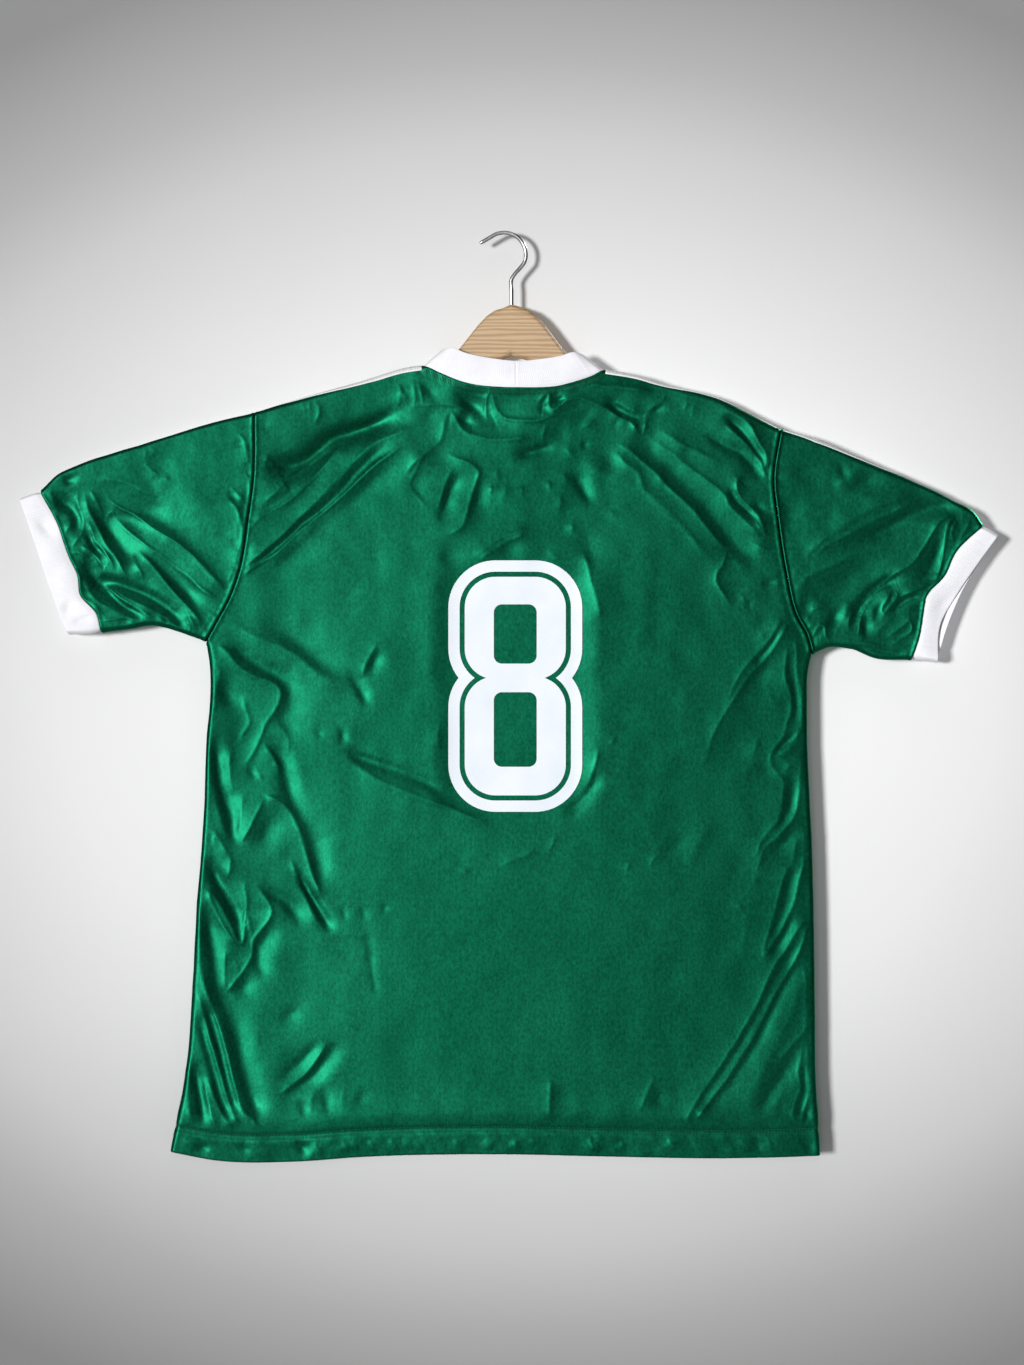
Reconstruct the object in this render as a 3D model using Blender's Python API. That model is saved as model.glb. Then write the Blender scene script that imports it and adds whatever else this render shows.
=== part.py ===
"""A football jersey hung on a wooden hanger: green cloth, white rib collar and cuffs, one stripe along each shoulder
and sleeve, and a block figure 8 on its back. Metres, +Z up. The origin is the top inside of the hanger's hook, and
-Y is the side of the jersey's back.

The jersey hangs nearly flat. Its outline lies in the XZ plane, and half_depth() says how far the back and the front
stand from that plane at each place, so pieces that meet at a seam follow one surface.
"""

import math
from collections import namedtuple

import bpy
import numpy as np

MM = 0.001

# Cloth and seams
CLOTH = 1.2 * MM  # wall of the jersey's knit
RIB = 2.0 * MM  # wall of the doubled collar and cuffs
TRIM = 0.8 * MM  # wall of the stripes
PRINT = 0.6 * MM  # wall of the figure
GAP = 0.3 * MM  # between neighbours
COLLAR_GAP = 0.4 * MM  # round the neck, where the seam turns in three directions

# How far the jersey stands open, measured from its middle plane
BODY_DEPTH = 12 * MM
NECK_DEPTH = 19 * MM
EDGE_ROUND = 18 * MM  # width over which a folded edge rounds over
NECK_REACH = 120 * MM  # beyond this distance from the neck the depth is the body's
NECK_CENTRE = (9 * MM, -135 * MM)

# Outlines in millimetres from the hook's inside, x and z, at the left and the right as one faces the back
Pair = namedtuple("Pair", "left_x left_z right_x right_z")
SIDE_SEAM = [  # hem corner to underarm
    Pair(-329, -900, 312, -904),
    Pair(-318, -852, 309, -869),
    Pair(-312, -812, 307, -832),
    Pair(-306, -734, 306, -753),
    Pair(-302, -655, 305, -675),
    Pair(-296, -577, 303, -597),
    Pair(-293, -499, 299, -519),
    Pair(-289, -443, 298, -458),
    Pair(-290, -421, 299, -430),
    Pair(-293, -401, 302, -413),
]
ARMHOLE = [  # underarm to shoulder point
    Pair(-293, -401, 302, -413),
    Pair(-282, -381, 297, -395),
    Pair(-270, -359, 286, -374),
    Pair(-260, -332, 276, -332),
    Pair(-251, -279, 268, -279),
    Pair(-246, -242, 264, -242),
    Pair(-245, -175, 271, -192),
]
SHOULDER = [  # shoulder point to neck point
    Pair(-245, -175, 271, -192),
    Pair(-200, -162, 235, -174),
    Pair(-161, -151, 215, -164),
    Pair(-127, -141, 152, -146),
    Pair(-101, -133, 129, -139),
    Pair(-78, -129, 97, -133),
]
SLEEVE_TOP = [  # shoulder point to cuff
    Pair(-245, -175, 271, -192),
    Pair(-280, -183, 300, -200),
    Pair(-359, -207, 354, -223),
    Pair(-418, -226, 443, -262),
    Pair(-438, -235, 463, -274),
    Pair(-456, -253, 471, -287),
]
SLEEVE_BOTTOM = [  # underarm to cuff
    Pair(-293, -401, 302, -413),
    Pair(-306, -396, 320, -406),
    Pair(-320, -391, 341, -408),
    Pair(-348, -385, 368, -418),
    Pair(-365, -388, 383, -419),
    Pair(-396, -392, 401, -418),
]
CUFF_SEAM = [  # top to bottom
    Pair(-456, -253, 471, -287),
    Pair(-440, -282, 444, -313),
    Pair(-427, -318, 433, -336),
    Pair(-419, -335, 415, -357),
    Pair(-416, -355, 412, -373),
    Pair(-400, -374, 409, -392),
    Pair(-396, -392, 401, -418),
]
CUFF_EDGE = [  # top to bottom, on the jersey's back
    Pair(-475, -259, 485, -295),
    Pair(-458, -308, 463, -326),
    Pair(-446, -344, 444, -354),
    Pair(-437, -369, 428, -383),
    Pair(-427, -394, 425, -421),
]
CUFF_EDGE_FRONT = [  # the same edge on the jersey's front
    Pair(-475, -259, 485, -295),
    Pair(-458, -308, 464, -327),
    Pair(-446, -344, 451, -349),
    Pair(-437, -369, 436, -384),
    Pair(-427, -394, 425, -421),
]
Point = namedtuple("Point", "x z")
HEM = [
    Point(-329, -900),
    Point(-280, -909),
    Point(-210, -910),
    Point(-141, -905),
    Point(-2, -902),
    Point(97, -904),
    Point(215, -906),
    Point(283, -905),
    Point(312, -904),
]
NECKLINE = [  # where the collar joins the back
    Point(-78, -129),
    Point(-59, -138),
    Point(-42, -145),
    Point(-22, -149),
    Point(15, -151),
    Point(55, -149),
    Point(73, -144),
    Point(87, -139),
    Point(97, -133),
]
COLLAR_TOP = [  # free edge of the collar at the back
    Point(-62, -114),
    Point(-52, -113),
    Point(-38, -118),
    Point(-15, -123),
    Point(15, -126),
    Point(38, -124),
    Point(56, -121),
    Point(70, -117),
    Point(79, -119),
]
FRONT_DROP = 84 * MM  # from the neck points down to the front neckline
FRONT_TOP_DROP = 75 * MM  # from the collar's upper corners down to its front edge
COLLAR_TOP_DEPTH = 15 * MM

# The largest folds: a soft ridge from one point to another, in millimetres
Fold = namedtuple("Fold", "from_x from_z to_x to_z width height")
BACK_FOLDS = [
    Fold(-305, -850, -245, -640, 15, 5),
    Fold(-285, -910, -262, -760, 13, 4),
    Fold(-275, -600, -225, -700, 14, 4),
    Fold(205, -895, 300, -700, 15, 5),
    Fold(225, -700, 298, -520, 13, 4),
    Fold(-262, -345, -120, -215, 14, 4),
    Fold(-255, -385, -120, -470, 15, 4),
    Fold(262, -335, 90, -215, 15, 5),
    Fold(292, -430, 215, -545, 12, 4),
    Fold(-60, -190, -30, -215, 13, 3),
]
FRONT_FOLDS = [
    Fold(-300, -860, -240, -660, 16, 5),
    Fold(285, -880, 240, -650, 16, 5),
    Fold(-255, -370, -120, -450, 15, 4),
    Fold(265, -370, 130, -460, 15, 4),
]
SLEEVE_FOLDS = [
    Fold(-400, -265, -290, -372, 13, 4),
    Fold(-390, -350, -315, -388, 9, 3),
    Fold(425, -300, 320, -380, 14, 4),
    Fold(400, -345, 345, -400, 9, 3),
]

# How finely the cloth is divided
ROUND_STEPS = np.radians([0, 28, 58, 90])  # round a folded edge
SIDE_CELLS = {"back": 13, "front": 8}  # hem to underarm
ARMHOLE_CELLS = 6
SHOULDER_CELLS = 4
NECK_CELLS = {"back": 6, "front": 8}
SLEEVE_CELLS = 7
CUFF_CELLS = 2
COLLAR_CELLS = 2

# The figure on the back: a filled 8 and a line round it. Heights are from its waist.
FIGURE_WAIST = (11 * MM, -436 * MM)
FIGURE_HALF_WIDTH = 49.5 * MM
LOOP_RADIUS = 30 * MM  # of the outer corners
LOOP_START = 28.6 * MM  # height of the corners next to the waist
UPPER_LOOP = 69 * MM  # height of the top corners
LOWER_LOOP = 85 * MM
COUNTER_HALF_WIDTH = 21 * MM
COUNTER_RADIUS = 8 * MM
COUNTERS = [(14 * MM, 72 * MM), (-87 * MM, -14 * MM)]
KEYLINE = (5 * MM, 16 * MM)  # from the edge of the filled 8 to the line's two edges
ARC_POINTS = 6

# Stripes along the ridge of shoulder and sleeve
STRIPE_SPAN = 76  # degrees of the fold that a stripe covers
STRIPE_LIFT = GAP + 0.2 * MM
STRIPE_CELLS = 5
STRIPE_END = 3 * MM  # bare ridge at both ends
Reach = namedtuple("Reach", "share left right")
STRIPE_REACH = [  # share of the way from neck to cuff, and how far the stripe comes over to the back in degrees
    Reach(0.00, 45, 43),
    Reach(0.12, 41, 38),
    Reach(0.20, 35, 27),
    Reach(0.28, 24, 10),
    Reach(0.38, 5, 5),
    Reach(0.46, -5, 20),
    Reach(0.54, -10, 36),
    Reach(0.62, -10, 25),
    Reach(0.70, -10, 8),
    Reach(0.80, -10, -5),
    Reach(1.00, -10, -10),
]

# Hanger
WIRE = 3.8 * MM
HOOK_RADIUS = 21.5 * MM  # of the wire's middle line
STEM_X = 7.4 * MM
WOOD_TOP = -68.4 * MM
WOOD_THICK = 12 * MM
WOOD_HALF_WIDTH = 215 * MM
ARM_HEIGHT = 26 * MM
ARM_TIP_HEIGHT = 19 * MM
WOOD_CORNER = 6 * MM  # rounding of its long edges
WOOD_CELLS = 26
PEAK_INNER = 14 * MM  # the raised middle keeps its height up to here
PEAK_OUTER = 70 * MM  # and has run out here
STEM_DEPTH = 16 * MM  # length of the stem inside the wood


# ---------------------------------------------------------------- curves and surfaces


def table_points(table, side=None):
    """A table's points in metres as rows of x and z. side picks the left or the right columns of a Pair."""
    if side is None:
        return np.array([(row.x, row.z) for row in table], float) * MM
    names = (side + "_x", side + "_z")
    return np.array([[getattr(row, n) for n in names] for row in table], float) * MM


def along(points, shares):
    """Points at shares (0 to 1) of the length of a smooth curve through points."""
    steps = np.linalg.norm(np.diff(points, axis=0), axis=1)
    at = np.concatenate([[0], np.cumsum(steps)])
    at /= at[-1]
    slopes = np.gradient(points, at, axis=0)
    shares = np.clip(np.asarray(shares, float), 0, 1)
    cell = np.clip(np.searchsorted(at, shares, side="right") - 1, 0, len(at) - 2)
    span = at[cell + 1] - at[cell]
    t = ((shares - at[cell]) / span)[..., None]
    span = span[..., None]
    return (
        (2 * t**3 - 3 * t**2 + 1) * points[cell]
        + (t**3 - 2 * t**2 + t) * span * slopes[cell]
        + (3 * t**2 - 2 * t**3) * points[cell + 1]
        + (t**3 - t**2) * span * slopes[cell + 1]
    )


def smooth_step(low, high, value):
    t = np.clip((value - low) / (high - low), 0, 1)
    return t * t * (3 - 2 * t)


def closed_edges():
    """The folded edges of the outline: each side with the sleeve's underside, and each shoulder with the sleeve's top."""
    shares = np.linspace(0, 1, 40)
    edges = []
    for side in ("left", "right"):
        cuff_top = table_points(CUFF_EDGE, side)[:1]
        cuff_bottom = table_points(CUFF_EDGE, side)[-1:]
        seam = along(table_points(SIDE_SEAM, side), shares)
        below = along(table_points(SLEEVE_BOTTOM, side), shares)
        shoulder = along(table_points(SHOULDER, side), shares)[::-1]
        above = along(table_points(SLEEVE_TOP, side), shares)
        edges.append(np.concatenate([seam, below, cuff_bottom]))
        edges.append(np.concatenate([shoulder, above, cuff_top]))
    return edges


EDGES = closed_edges()


def edge_distance(x, z):
    """Distance in the XZ plane from each point to the nearest folded edge."""
    spot = np.stack([x, z], -1)[..., None, :]
    nearest = np.full(np.shape(x), 1.0)
    for edge in EDGES:
        start, run = edge[:-1], np.diff(edge, axis=0)
        length = np.maximum((run**2).sum(-1), 1e-12)
        t = np.clip(((spot - start) * run).sum(-1) / length, 0, 1)
        away = np.linalg.norm(spot - (start + t[..., None] * run), axis=-1)
        nearest = np.minimum(nearest, away.min(-1))
    return nearest


def folds_height(folds, x, z):
    """Height of the soft ridges at each point."""
    total = np.zeros(np.shape(x))
    for fold in folds:
        start = np.array([fold.from_x, fold.from_z]) * MM
        run = np.array([fold.to_x, fold.to_z]) * MM - start
        t = ((x - start[0]) * run[0] + (z - start[1]) * run[1]) / (run @ run)
        across = ((x - start[0]) * run[1] - (z - start[1]) * run[0]) / math.hypot(*run)
        ends = smooth_step(-0.15, 0.3, t) * smooth_step(-0.15, 0.3, 1 - t)
        total += fold.height * MM * ends * np.exp(-((across / (fold.width * MM)) ** 2))
    return total


def rounded(away):
    """Share of the full depth at a distance from a folded edge."""
    return np.sqrt(1 - (1 - np.minimum(away / EDGE_ROUND, 1)) ** 2)


def full_depth(x, z):
    """Depth away from the folded edges, without the folds. The jersey stands open most at the neck."""
    from_neck = np.hypot(x - NECK_CENTRE[0], z - NECK_CENTRE[1])
    return BODY_DEPTH + (NECK_DEPTH - BODY_DEPTH) * (1 - smooth_step(0, NECK_REACH, from_neck))


def half_depth(x, z, side):
    """How far the outer surface stands from the middle plane, on the back or the front."""
    away = edge_distance(x, z)
    folds = SLEEVE_FOLDS + (BACK_FOLDS if side == "back" else FRONT_FOLDS)
    return full_depth(x, z) * rounded(away) + folds_height(folds, x, z) * smooth_step(0, 2 * EDGE_ROUND, away)


def inward(x, z, side):
    """Unit vectors from the outer surface into the cloth, away from the folded edges."""
    step = 0.4 * MM
    slope_x = (half_depth(x + step, z, side) - half_depth(x - step, z, side)) / (2 * step)
    slope_z = (half_depth(x, z + step, side) - half_depth(x, z - step, side)) / (2 * step)
    vector = np.stack([slope_x, np.full_like(x, 1.0 if side == "back" else -1.0), slope_z], -1)
    return vector / np.linalg.norm(vector, axis=-1, keepdims=True)


def left_of(curve):
    """Unit vectors to the left of an XZ curve as it runs."""
    run = np.gradient(curve, axis=0)
    return np.stack([-run[:, 1], run[:, 0]], -1) / np.linalg.norm(run, axis=-1, keepdims=True)


def in_plane(vectors):
    """XZ vectors as XYZ ones."""
    return np.stack([vectors[:, 0], np.zeros(len(vectors)), vectors[:, 1]], -1)


def along_cut(vectors, across):
    """The vectors less their part along across, the XZ unit vectors square to a cut edge, so that a seam's two rims
    stay parallel."""
    across = in_plane(across)
    return vectors - (vectors * across).sum(-1, keepdims=True) * across


def moved_across(curve, distance):
    """A curve in the XZ plane moved to its left."""
    return curve + distance * left_of(curve)


def patch(bottom, top, left, right, across, up):
    """A grid of XZ points between four boundary curves, at shares across and up."""
    u = np.asarray(across)[None, :, None]
    v = np.asarray(up)[:, None, None]
    corners = (
        (1 - u) * (1 - v) * bottom[0]
        + u * (1 - v) * bottom[-1]
        + (1 - u) * v * top[0]
        + u * v * top[-1]
    )
    return (
        (1 - v) * bottom[None]
        + v * top[None]
        + (1 - u) * left[:, None]
        + u * right[:, None]
        - corners
    )


# ---------------------------------------------------------------- solids


def material(name, colour, roughness, metallic=0.0):
    made = bpy.data.materials.new(name)
    made.use_nodes = True
    shader = made.node_tree.nodes["Principled BSDF"]
    shader.inputs["Base Color"].default_value = (*colour, 1.0)
    shader.inputs["Roughness"].default_value = roughness
    shader.inputs["Metallic"].default_value = metallic
    return made


def add_object(name, points, faces, finish):
    mesh = bpy.data.meshes.new(name)
    mesh.from_pydata([tuple(p) for p in points], [], [tuple(f) for f in faces])
    mesh.validate()
    mesh.shade_smooth()
    mesh.set_sharp_from_angle(angle=math.radians(50))
    made = bpy.data.objects.new(name, mesh)
    made.data.materials.append(finish)
    bpy.context.scene.collection.objects.link(made)
    return made


def closed_wall(name, outer, inner, finish, flip=False, ring=False):
    """A solid between two grids of points. A ring's last column joins its first."""
    rows, columns = outer.shape[:2]
    faces = []

    def at(row, column, layer):
        return (layer * rows + row) * columns + column % columns

    # Both faces of the wall are split along the same diagonals, so that it keeps its thickness where it twists.
    steps = range(columns if ring else columns - 1)
    for row in range(rows - 1):
        for column in steps:
            a, b, c, d = (row, column), (row, column + 1), (row + 1, column + 1), (row + 1, column)
            for corners in ((a, b, c), (a, c, d)):
                faces.append([at(*corner, 0) for corner in corners])
                faces.append([at(*corner, 1) for corner in reversed(corners)])
    rims = [((row, column), (row, column + 1), order) for row, order in ((0, 1), (rows - 1, -1)) for column in steps]
    if not ring:
        rims += [
            ((row, column), (row + 1, column), order)
            for column, order in ((0, -1), (columns - 1, 1))
            for row in range(rows - 1)
        ]
    for first, second, order in rims:
        rim = [at(*first, 0), at(*first, 1), at(*second, 1), at(*second, 0)]
        faces.append(rim[::order])
    if flip:
        faces = [face[::-1] for face in faces]
    points = np.concatenate([outer.reshape(-1, 3), inner.reshape(-1, 3)])
    return add_object(name, points, faces, finish)


def rounding_distances():
    """Distances from a folded edge at which its rounding is followed."""
    return EDGE_ROUND * (1 - np.cos(ROUND_STEPS))


def length_of(curve):
    return np.linalg.norm(np.diff(curve, axis=0), axis=1).sum()


def shares_between_folds(length, cells):
    """Shares of a length between two folded edges, dense where the edges round over."""
    near = rounding_distances() / length
    middle = np.linspace(near[-1], 1 - near[-1], cells + 1)[1:-1]
    return np.concatenate([near, middle, 1 - near[::-1]])


def front_curve(ends, drop):
    """The front of the neck: half an ellipse hung between its two ends."""
    left, right = ends
    s = -np.cos(np.linspace(0, math.pi, 61))
    line = left + (right - left) * ((s + 1) / 2)[:, None]
    return line - np.stack([np.zeros_like(s), drop * np.sqrt(np.clip(1 - s * s, 0, 1))], -1)


def neck_curves(side):
    """Neckline and free edge of the collar, on the back or the front, at matching points."""
    base, top = table_points(NECKLINE), table_points(COLLAR_TOP)
    if side == "front":
        base = front_curve((base[0], base[-1]), FRONT_DROP)
        top = front_curve((top[0], top[-1]), FRONT_TOP_DROP)
    shares = shares_between_folds(length_of(base), NECK_CELLS[side])
    return along(base, shares), along(top, shares)


def armhole_shares(side):
    """Shares of the way from underarm to shoulder point."""
    return shares_between_folds(length_of(table_points(ARMHOLE, side)), ARMHOLE_CELLS)


def shoulder_points(side):
    """Points along the fold of a shoulder, from its outer end to the neck."""
    shoulder = table_points(SHOULDER, side)
    near = rounding_distances() / length_of(shoulder)
    return along(shoulder, np.concatenate([near, np.linspace(near[-1], 1, SHOULDER_CELLS + 1)[1:]]))


def body_panel(side, finish):
    """The back or the front: from the hem to the shoulders, between side seams and armholes."""
    left, right = shoulder_points("left"), shoulder_points("right")
    top = np.concatenate([left, neck_curves(side)[0][1:-1], right[::-1]])
    across = (top[:, 0] - top[0, 0]) / (top[-1, 0] - top[0, 0])
    bottom = along(table_points(HEM), across)

    side_shares = np.linspace(0, 1, SIDE_CELLS[side] + 1)
    edges = {
        s: np.concatenate(
            [
                along(table_points(SIDE_SEAM, s), side_shares),
                along(table_points(ARMHOLE, s), armhole_shares(s))[1:],
            ]
        )
        for s in ("left", "right")
    }
    rise = edges["left"][:, 1]
    up = (rise - rise[0]) / (rise[-1] - rise[0])
    grid = patch(bottom, top, edges["left"], edges["right"], across, up)

    rows, columns = grid.shape[:2]
    underarm = SIDE_CELLS[side]
    neck_point = len(left) - 1
    closed = np.zeros((rows, columns), bool)
    closed[: underarm + 1, [0, -1]] = True
    closed[-1, : neck_point + 1] = True
    closed[-1, columns - 1 - neck_point :] = True

    x, z = grid[..., 0], grid[..., 1]
    facing = -1.0 if side == "back" else 1.0
    depth = np.where(closed, GAP / 2, np.maximum(half_depth(x, z, side), GAP / 2))
    outer = np.stack([x, facing * depth, z], -1)
    vectors = inward(x, z, side)
    # On a folded edge the cloth lies square to the edge, in the middle plane.
    seam = slice(0, underarm + 1)
    vectors[seam, 0] = -in_plane(left_of(grid[seam, 0]))
    vectors[seam, -1] = in_plane(left_of(grid[seam, -1]))
    for fold in (slice(0, neck_point + 1), slice(columns - 1 - neck_point, columns)):
        vectors[-1, fold] = -in_plane(left_of(grid[-1, fold]))
    cut = slice(underarm, rows)
    for column in (0, -1):
        vectors[cut, column] = along_cut(vectors[cut, column], left_of(grid[cut, column]))
    cut = slice(neck_point, columns - neck_point)
    vectors[-1, cut] = along_cut(vectors[-1, cut], left_of(grid[-1, cut]))
    inner = outer + CLOTH * vectors
    # The two panels stay on their own sides of the middle plane.
    inner[..., 1] = facing * np.maximum(facing * inner[..., 1], GAP / 2)
    return closed_wall(side, outer, inner, finish, flip=side == "front")


def tube(name, back_rows, front_rows, wall, finish, flip):
    """A flattened tube round rows of XZ points that run from its top fold to its bottom fold."""
    rings = []
    for grid, side in ((back_rows, "back"), (front_rows[:, -2:0:-1], "front")):
        closed = np.zeros(grid.shape[:2], bool)
        closed[:, [0, -1]] = side == "back"
        x, z = grid[..., 0], grid[..., 1]
        facing = -1.0 if side == "back" else 1.0
        depth = np.where(closed, 0.0, half_depth(x, z, side))
        outer = np.stack([x, facing * depth, z], -1)
        vectors = inward(x, z, side)
        if side == "back":
            vectors[:, 0] = in_plane(left_of(grid[:, 0])) * (1 if flip else -1)
            vectors[:, -1] = in_plane(left_of(grid[:, -1])) * (-1 if flip else 1)
        for row in (0, -1):
            vectors[row] = along_cut(vectors[row], left_of(grid[row]))
        rings.append((outer, outer + wall * vectors))
    outer, inner = (np.concatenate(pair, axis=1) for pair in zip(*rings))
    return closed_wall(name, outer, inner, finish, flip=flip, ring=True)


def rows_between(first, last, cells):
    steps = np.linspace(0, 1, cells + 1)[:, None, None]
    return (1 - steps) * first + steps * last


def sleeve_and_cuff(side, cloth, rib):
    # Both seam curves run downwards, so a step to one side of them goes out along the arm.
    outwards = -GAP if side == "left" else GAP
    shares = 1 - armhole_shares(side)[::-1]
    seam = table_points(CUFF_SEAM, side)
    cuff_shares = shares_between_folds(length_of(seam), ARMHOLE_CELLS)
    seam = along(seam, cuff_shares)
    start = moved_across(along(table_points(ARMHOLE, side)[::-1], shares), outwards)
    steps = np.linspace(0, 1, SLEEVE_CELLS + 1)
    upper = along(table_points(SLEEVE_TOP, side), steps)
    lower = along(table_points(SLEEVE_BOTTOM, side), steps)
    upper[0], lower[0] = start[0], start[-1]
    rows = patch(start, seam, upper, lower, (shares + cuff_shares) / 2, steps)
    tube(side + "_sleeve", rows, rows, CLOTH, cloth, side == "left")

    foot = moved_across(seam, outwards)
    back = rows_between(foot, along(table_points(CUFF_EDGE, side), cuff_shares), CUFF_CELLS)
    front = rows_between(foot, along(table_points(CUFF_EDGE_FRONT, side), cuff_shares), CUFF_CELLS)
    tube(side + "_cuff", back, front, RIB, rib, side == "left")


def collar(finish):
    """A band round the neck that leans inwards and stands up from the neckline."""
    rings, across = [], []
    for side, facing in (("back", -1), ("front", 1)):
        base, top = neck_curves(side)
        low = half_depth(base[:, 0], base[:, 1], side)
        base = moved_across(base, COLLAR_GAP)
        low[[0, -1]] = 0
        steps = np.linalg.norm(np.diff(top, axis=0), axis=1)
        at = np.concatenate([[0], np.cumsum(steps)])
        high = COLLAR_TOP_DEPTH * rounded(np.minimum(at, at[-1] - at))
        rows = []
        for t in np.linspace(0, 1, COLLAR_CELLS + 1):
            flat = (1 - t) * base + t * top
            rows.append(np.stack([flat[:, 0], facing * ((1 - t) * low + t * high), flat[:, 1]], -1))
        rings.append(np.array(rows))
        across.append(left_of(base))
    back, front = rings
    # At the two ends of the shoulders back and front share their points.
    shift = COLLAR_GAP * math.sqrt(0.5)
    neck_points = table_points(NECKLINE)[[0, -1]] + [(shift, shift), (-shift, shift)]
    back[0, 0, [0, 2]], back[0, -1, [0, 2]] = neck_points
    outer = np.concatenate([back, front[:, -2:0:-1]], axis=1)
    run = np.roll(outer, -1, axis=1) - np.roll(outer, 1, axis=1)
    rise = np.repeat((outer[-1] - outer[0])[None], len(outer), axis=0)
    vectors = np.cross(run, rise)
    vectors /= np.linalg.norm(vectors, axis=-1, keepdims=True)
    centre = outer.mean(axis=(0, 1))
    vectors *= np.sign(((centre - outer) * vectors).sum(-1, keepdims=True))
    seam = along_cut(vectors[0], np.concatenate([across[0], across[1][-2:0:-1]]))
    ends = [0, back.shape[1] - 1]
    seam[ends] = vectors[0, ends]
    vectors[0] = seam
    return closed_wall("collar", outer, outer + RIB * vectors, finish, ring=True)


def ridge(side):
    """The fold along the top of shoulder and sleeve, from the neck to the cuff seam."""
    sleeve = along(table_points(SLEEVE_TOP, side), np.linspace(0, 1, SLEEVE_CELLS + 1))
    return np.concatenate([shoulder_points(side)[::-1], sleeve[1:]])


def stripe(side, finish):
    """A tape that rides over the ridge, a little of it on the back and the rest on the front."""
    line = ridge(side)
    middle = np.insert(line, range(1, len(line)), (line[1:] + line[:-1]) / 2, axis=0)
    at = np.concatenate([[0], np.cumsum(np.linalg.norm(np.diff(middle, axis=0), axis=1))])
    run = np.gradient(middle, axis=0)
    down = np.stack([run[:, 1], -run[:, 0]], -1) * (1 if side == "right" else -1)
    down /= np.linalg.norm(down, axis=-1, keepdims=True)
    for end, inwards in ((0, 1), (-1, -2)):
        step = middle[inwards] - middle[end]
        middle[end] += STRIPE_END * step / np.linalg.norm(step)
    depth = full_depth(middle[:, 0], middle[:, 1])
    shares = [row.share for row in STRIPE_REACH]
    behind = np.interp(at / at[-1], shares, [getattr(row, side) for row in STRIPE_REACH])
    grids = ([], [])
    for step in np.linspace(0, 1, STRIPE_CELLS + 1):
        # Angle round the fold from the ridge, above 0 on the back
        angle = np.radians(behind - step * STRIPE_SPAN)
        flat = middle + (EDGE_ROUND * (1 - np.cos(angle)))[:, None] * down
        # Outward normal of the elliptical fold: its part up in the plane, and its part towards the back
        up, back = np.cos(angle) / EDGE_ROUND, np.sin(angle) / depth
        size = np.hypot(up, back)
        for grid, lift in zip(grids, (STRIPE_LIFT + TRIM, STRIPE_LIFT)):
            spot = flat - (lift * up / size)[:, None] * down
            grid.append(np.stack([spot[:, 0], -depth * np.sin(angle) - lift * back / size, spot[:, 1]], -1))
    closed_wall(side + "_stripe", np.array(grids[0]), np.array(grids[1]), finish, flip=side == "left")


# ---------------------------------------------------------------- figure


def arc(centre, radius, start, end):
    """Points on an arc in degrees, anticlockwise."""
    return [
        (centre[0] + radius * math.cos(a), centre[1] + radius * math.sin(a))
        for a in np.radians(np.linspace(start, end, ARC_POINTS))
    ]


def eight_outline(grow):
    """Outline of two rounded loops that meet in a notched waist at z = 0, grown outwards by a distance."""
    radius = LOOP_RADIUS + grow
    meet = math.degrees(math.asin(LOOP_START / radius))
    across = FIGURE_HALF_WIDTH - LOOP_RADIUS
    right = (
        arc((across, -LOWER_LOOP), radius, -90, 0)
        + arc((across, -LOOP_START), radius, 0, meet)
        + arc((across, LOOP_START), radius, -meet, 0)[1:]
        + arc((across, UPPER_LOOP), radius, 0, 90)
    )
    return right + [(-x, z) for x, z in reversed(right)]


def counter(low, high):
    """Opening of one loop: a rectangle with rounded corners."""
    outline = []
    for x, z, start in ((1, 1, 0), (-1, 1, 90), (-1, -1, 180), (1, -1, 270)):
        centre = (x * (COUNTER_HALF_WIDTH - COUNTER_RADIUS), (high if z > 0 else low) - z * COUNTER_RADIUS)
        outline += arc(centre, COUNTER_RADIUS, start, start + 90)
    return outline


def flat_print(name, outlines, finish):
    """Outlines filled and given thickness, lying on the flat middle of the back."""
    curve = bpy.data.curves.new(name, "CURVE")
    curve.dimensions = "2D"
    curve.fill_mode = "BOTH"
    curve.extrude = PRINT / 2
    for outline in outlines:
        spline = curve.splines.new("POLY")
        spline.points.add(len(outline) - 1)
        for point, (x, z) in zip(spline.points, outline):
            point.co = (x, z, 0, 1)
        spline.use_cyclic_u = True
    made = bpy.data.objects.new(name, curve)
    made.rotation_euler = (math.pi / 2, 0, 0)
    made.location = (FIGURE_WAIST[0], -(BODY_DEPTH + GAP + PRINT / 2), FIGURE_WAIST[1])
    made.data.materials.append(finish)
    bpy.context.scene.collection.objects.link(made)
    return made


# ---------------------------------------------------------------- hanger


def arm_top(x):
    """Height of the hanger's arms: just under the fold of the shoulders, and straight on inside the neck."""
    height = []
    for side, sign in (("left", -1), ("right", 1)):
        line = ridge(side)
        slope = (line[SHOULDER_CELLS, 1] - line[0, 1]) / (line[SHOULDER_CELLS, 0] - line[0, 0])
        beyond = line[0, 1] + slope * (x - line[0, 0])
        on_fold = np.interp(sign * x, sign * line[:, 0], line[:, 1])
        from_neck = sign * (x - line[0, 0])
        collar_room = (RIB - CLOTH) * (1 - smooth_step(0, 20 * MM, from_neck))
        height.append(np.where(from_neck > 0, on_fold, beyond) - CLOTH - 1.7 * GAP - collar_room)
    return np.where(x < STEM_X, *height)


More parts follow.
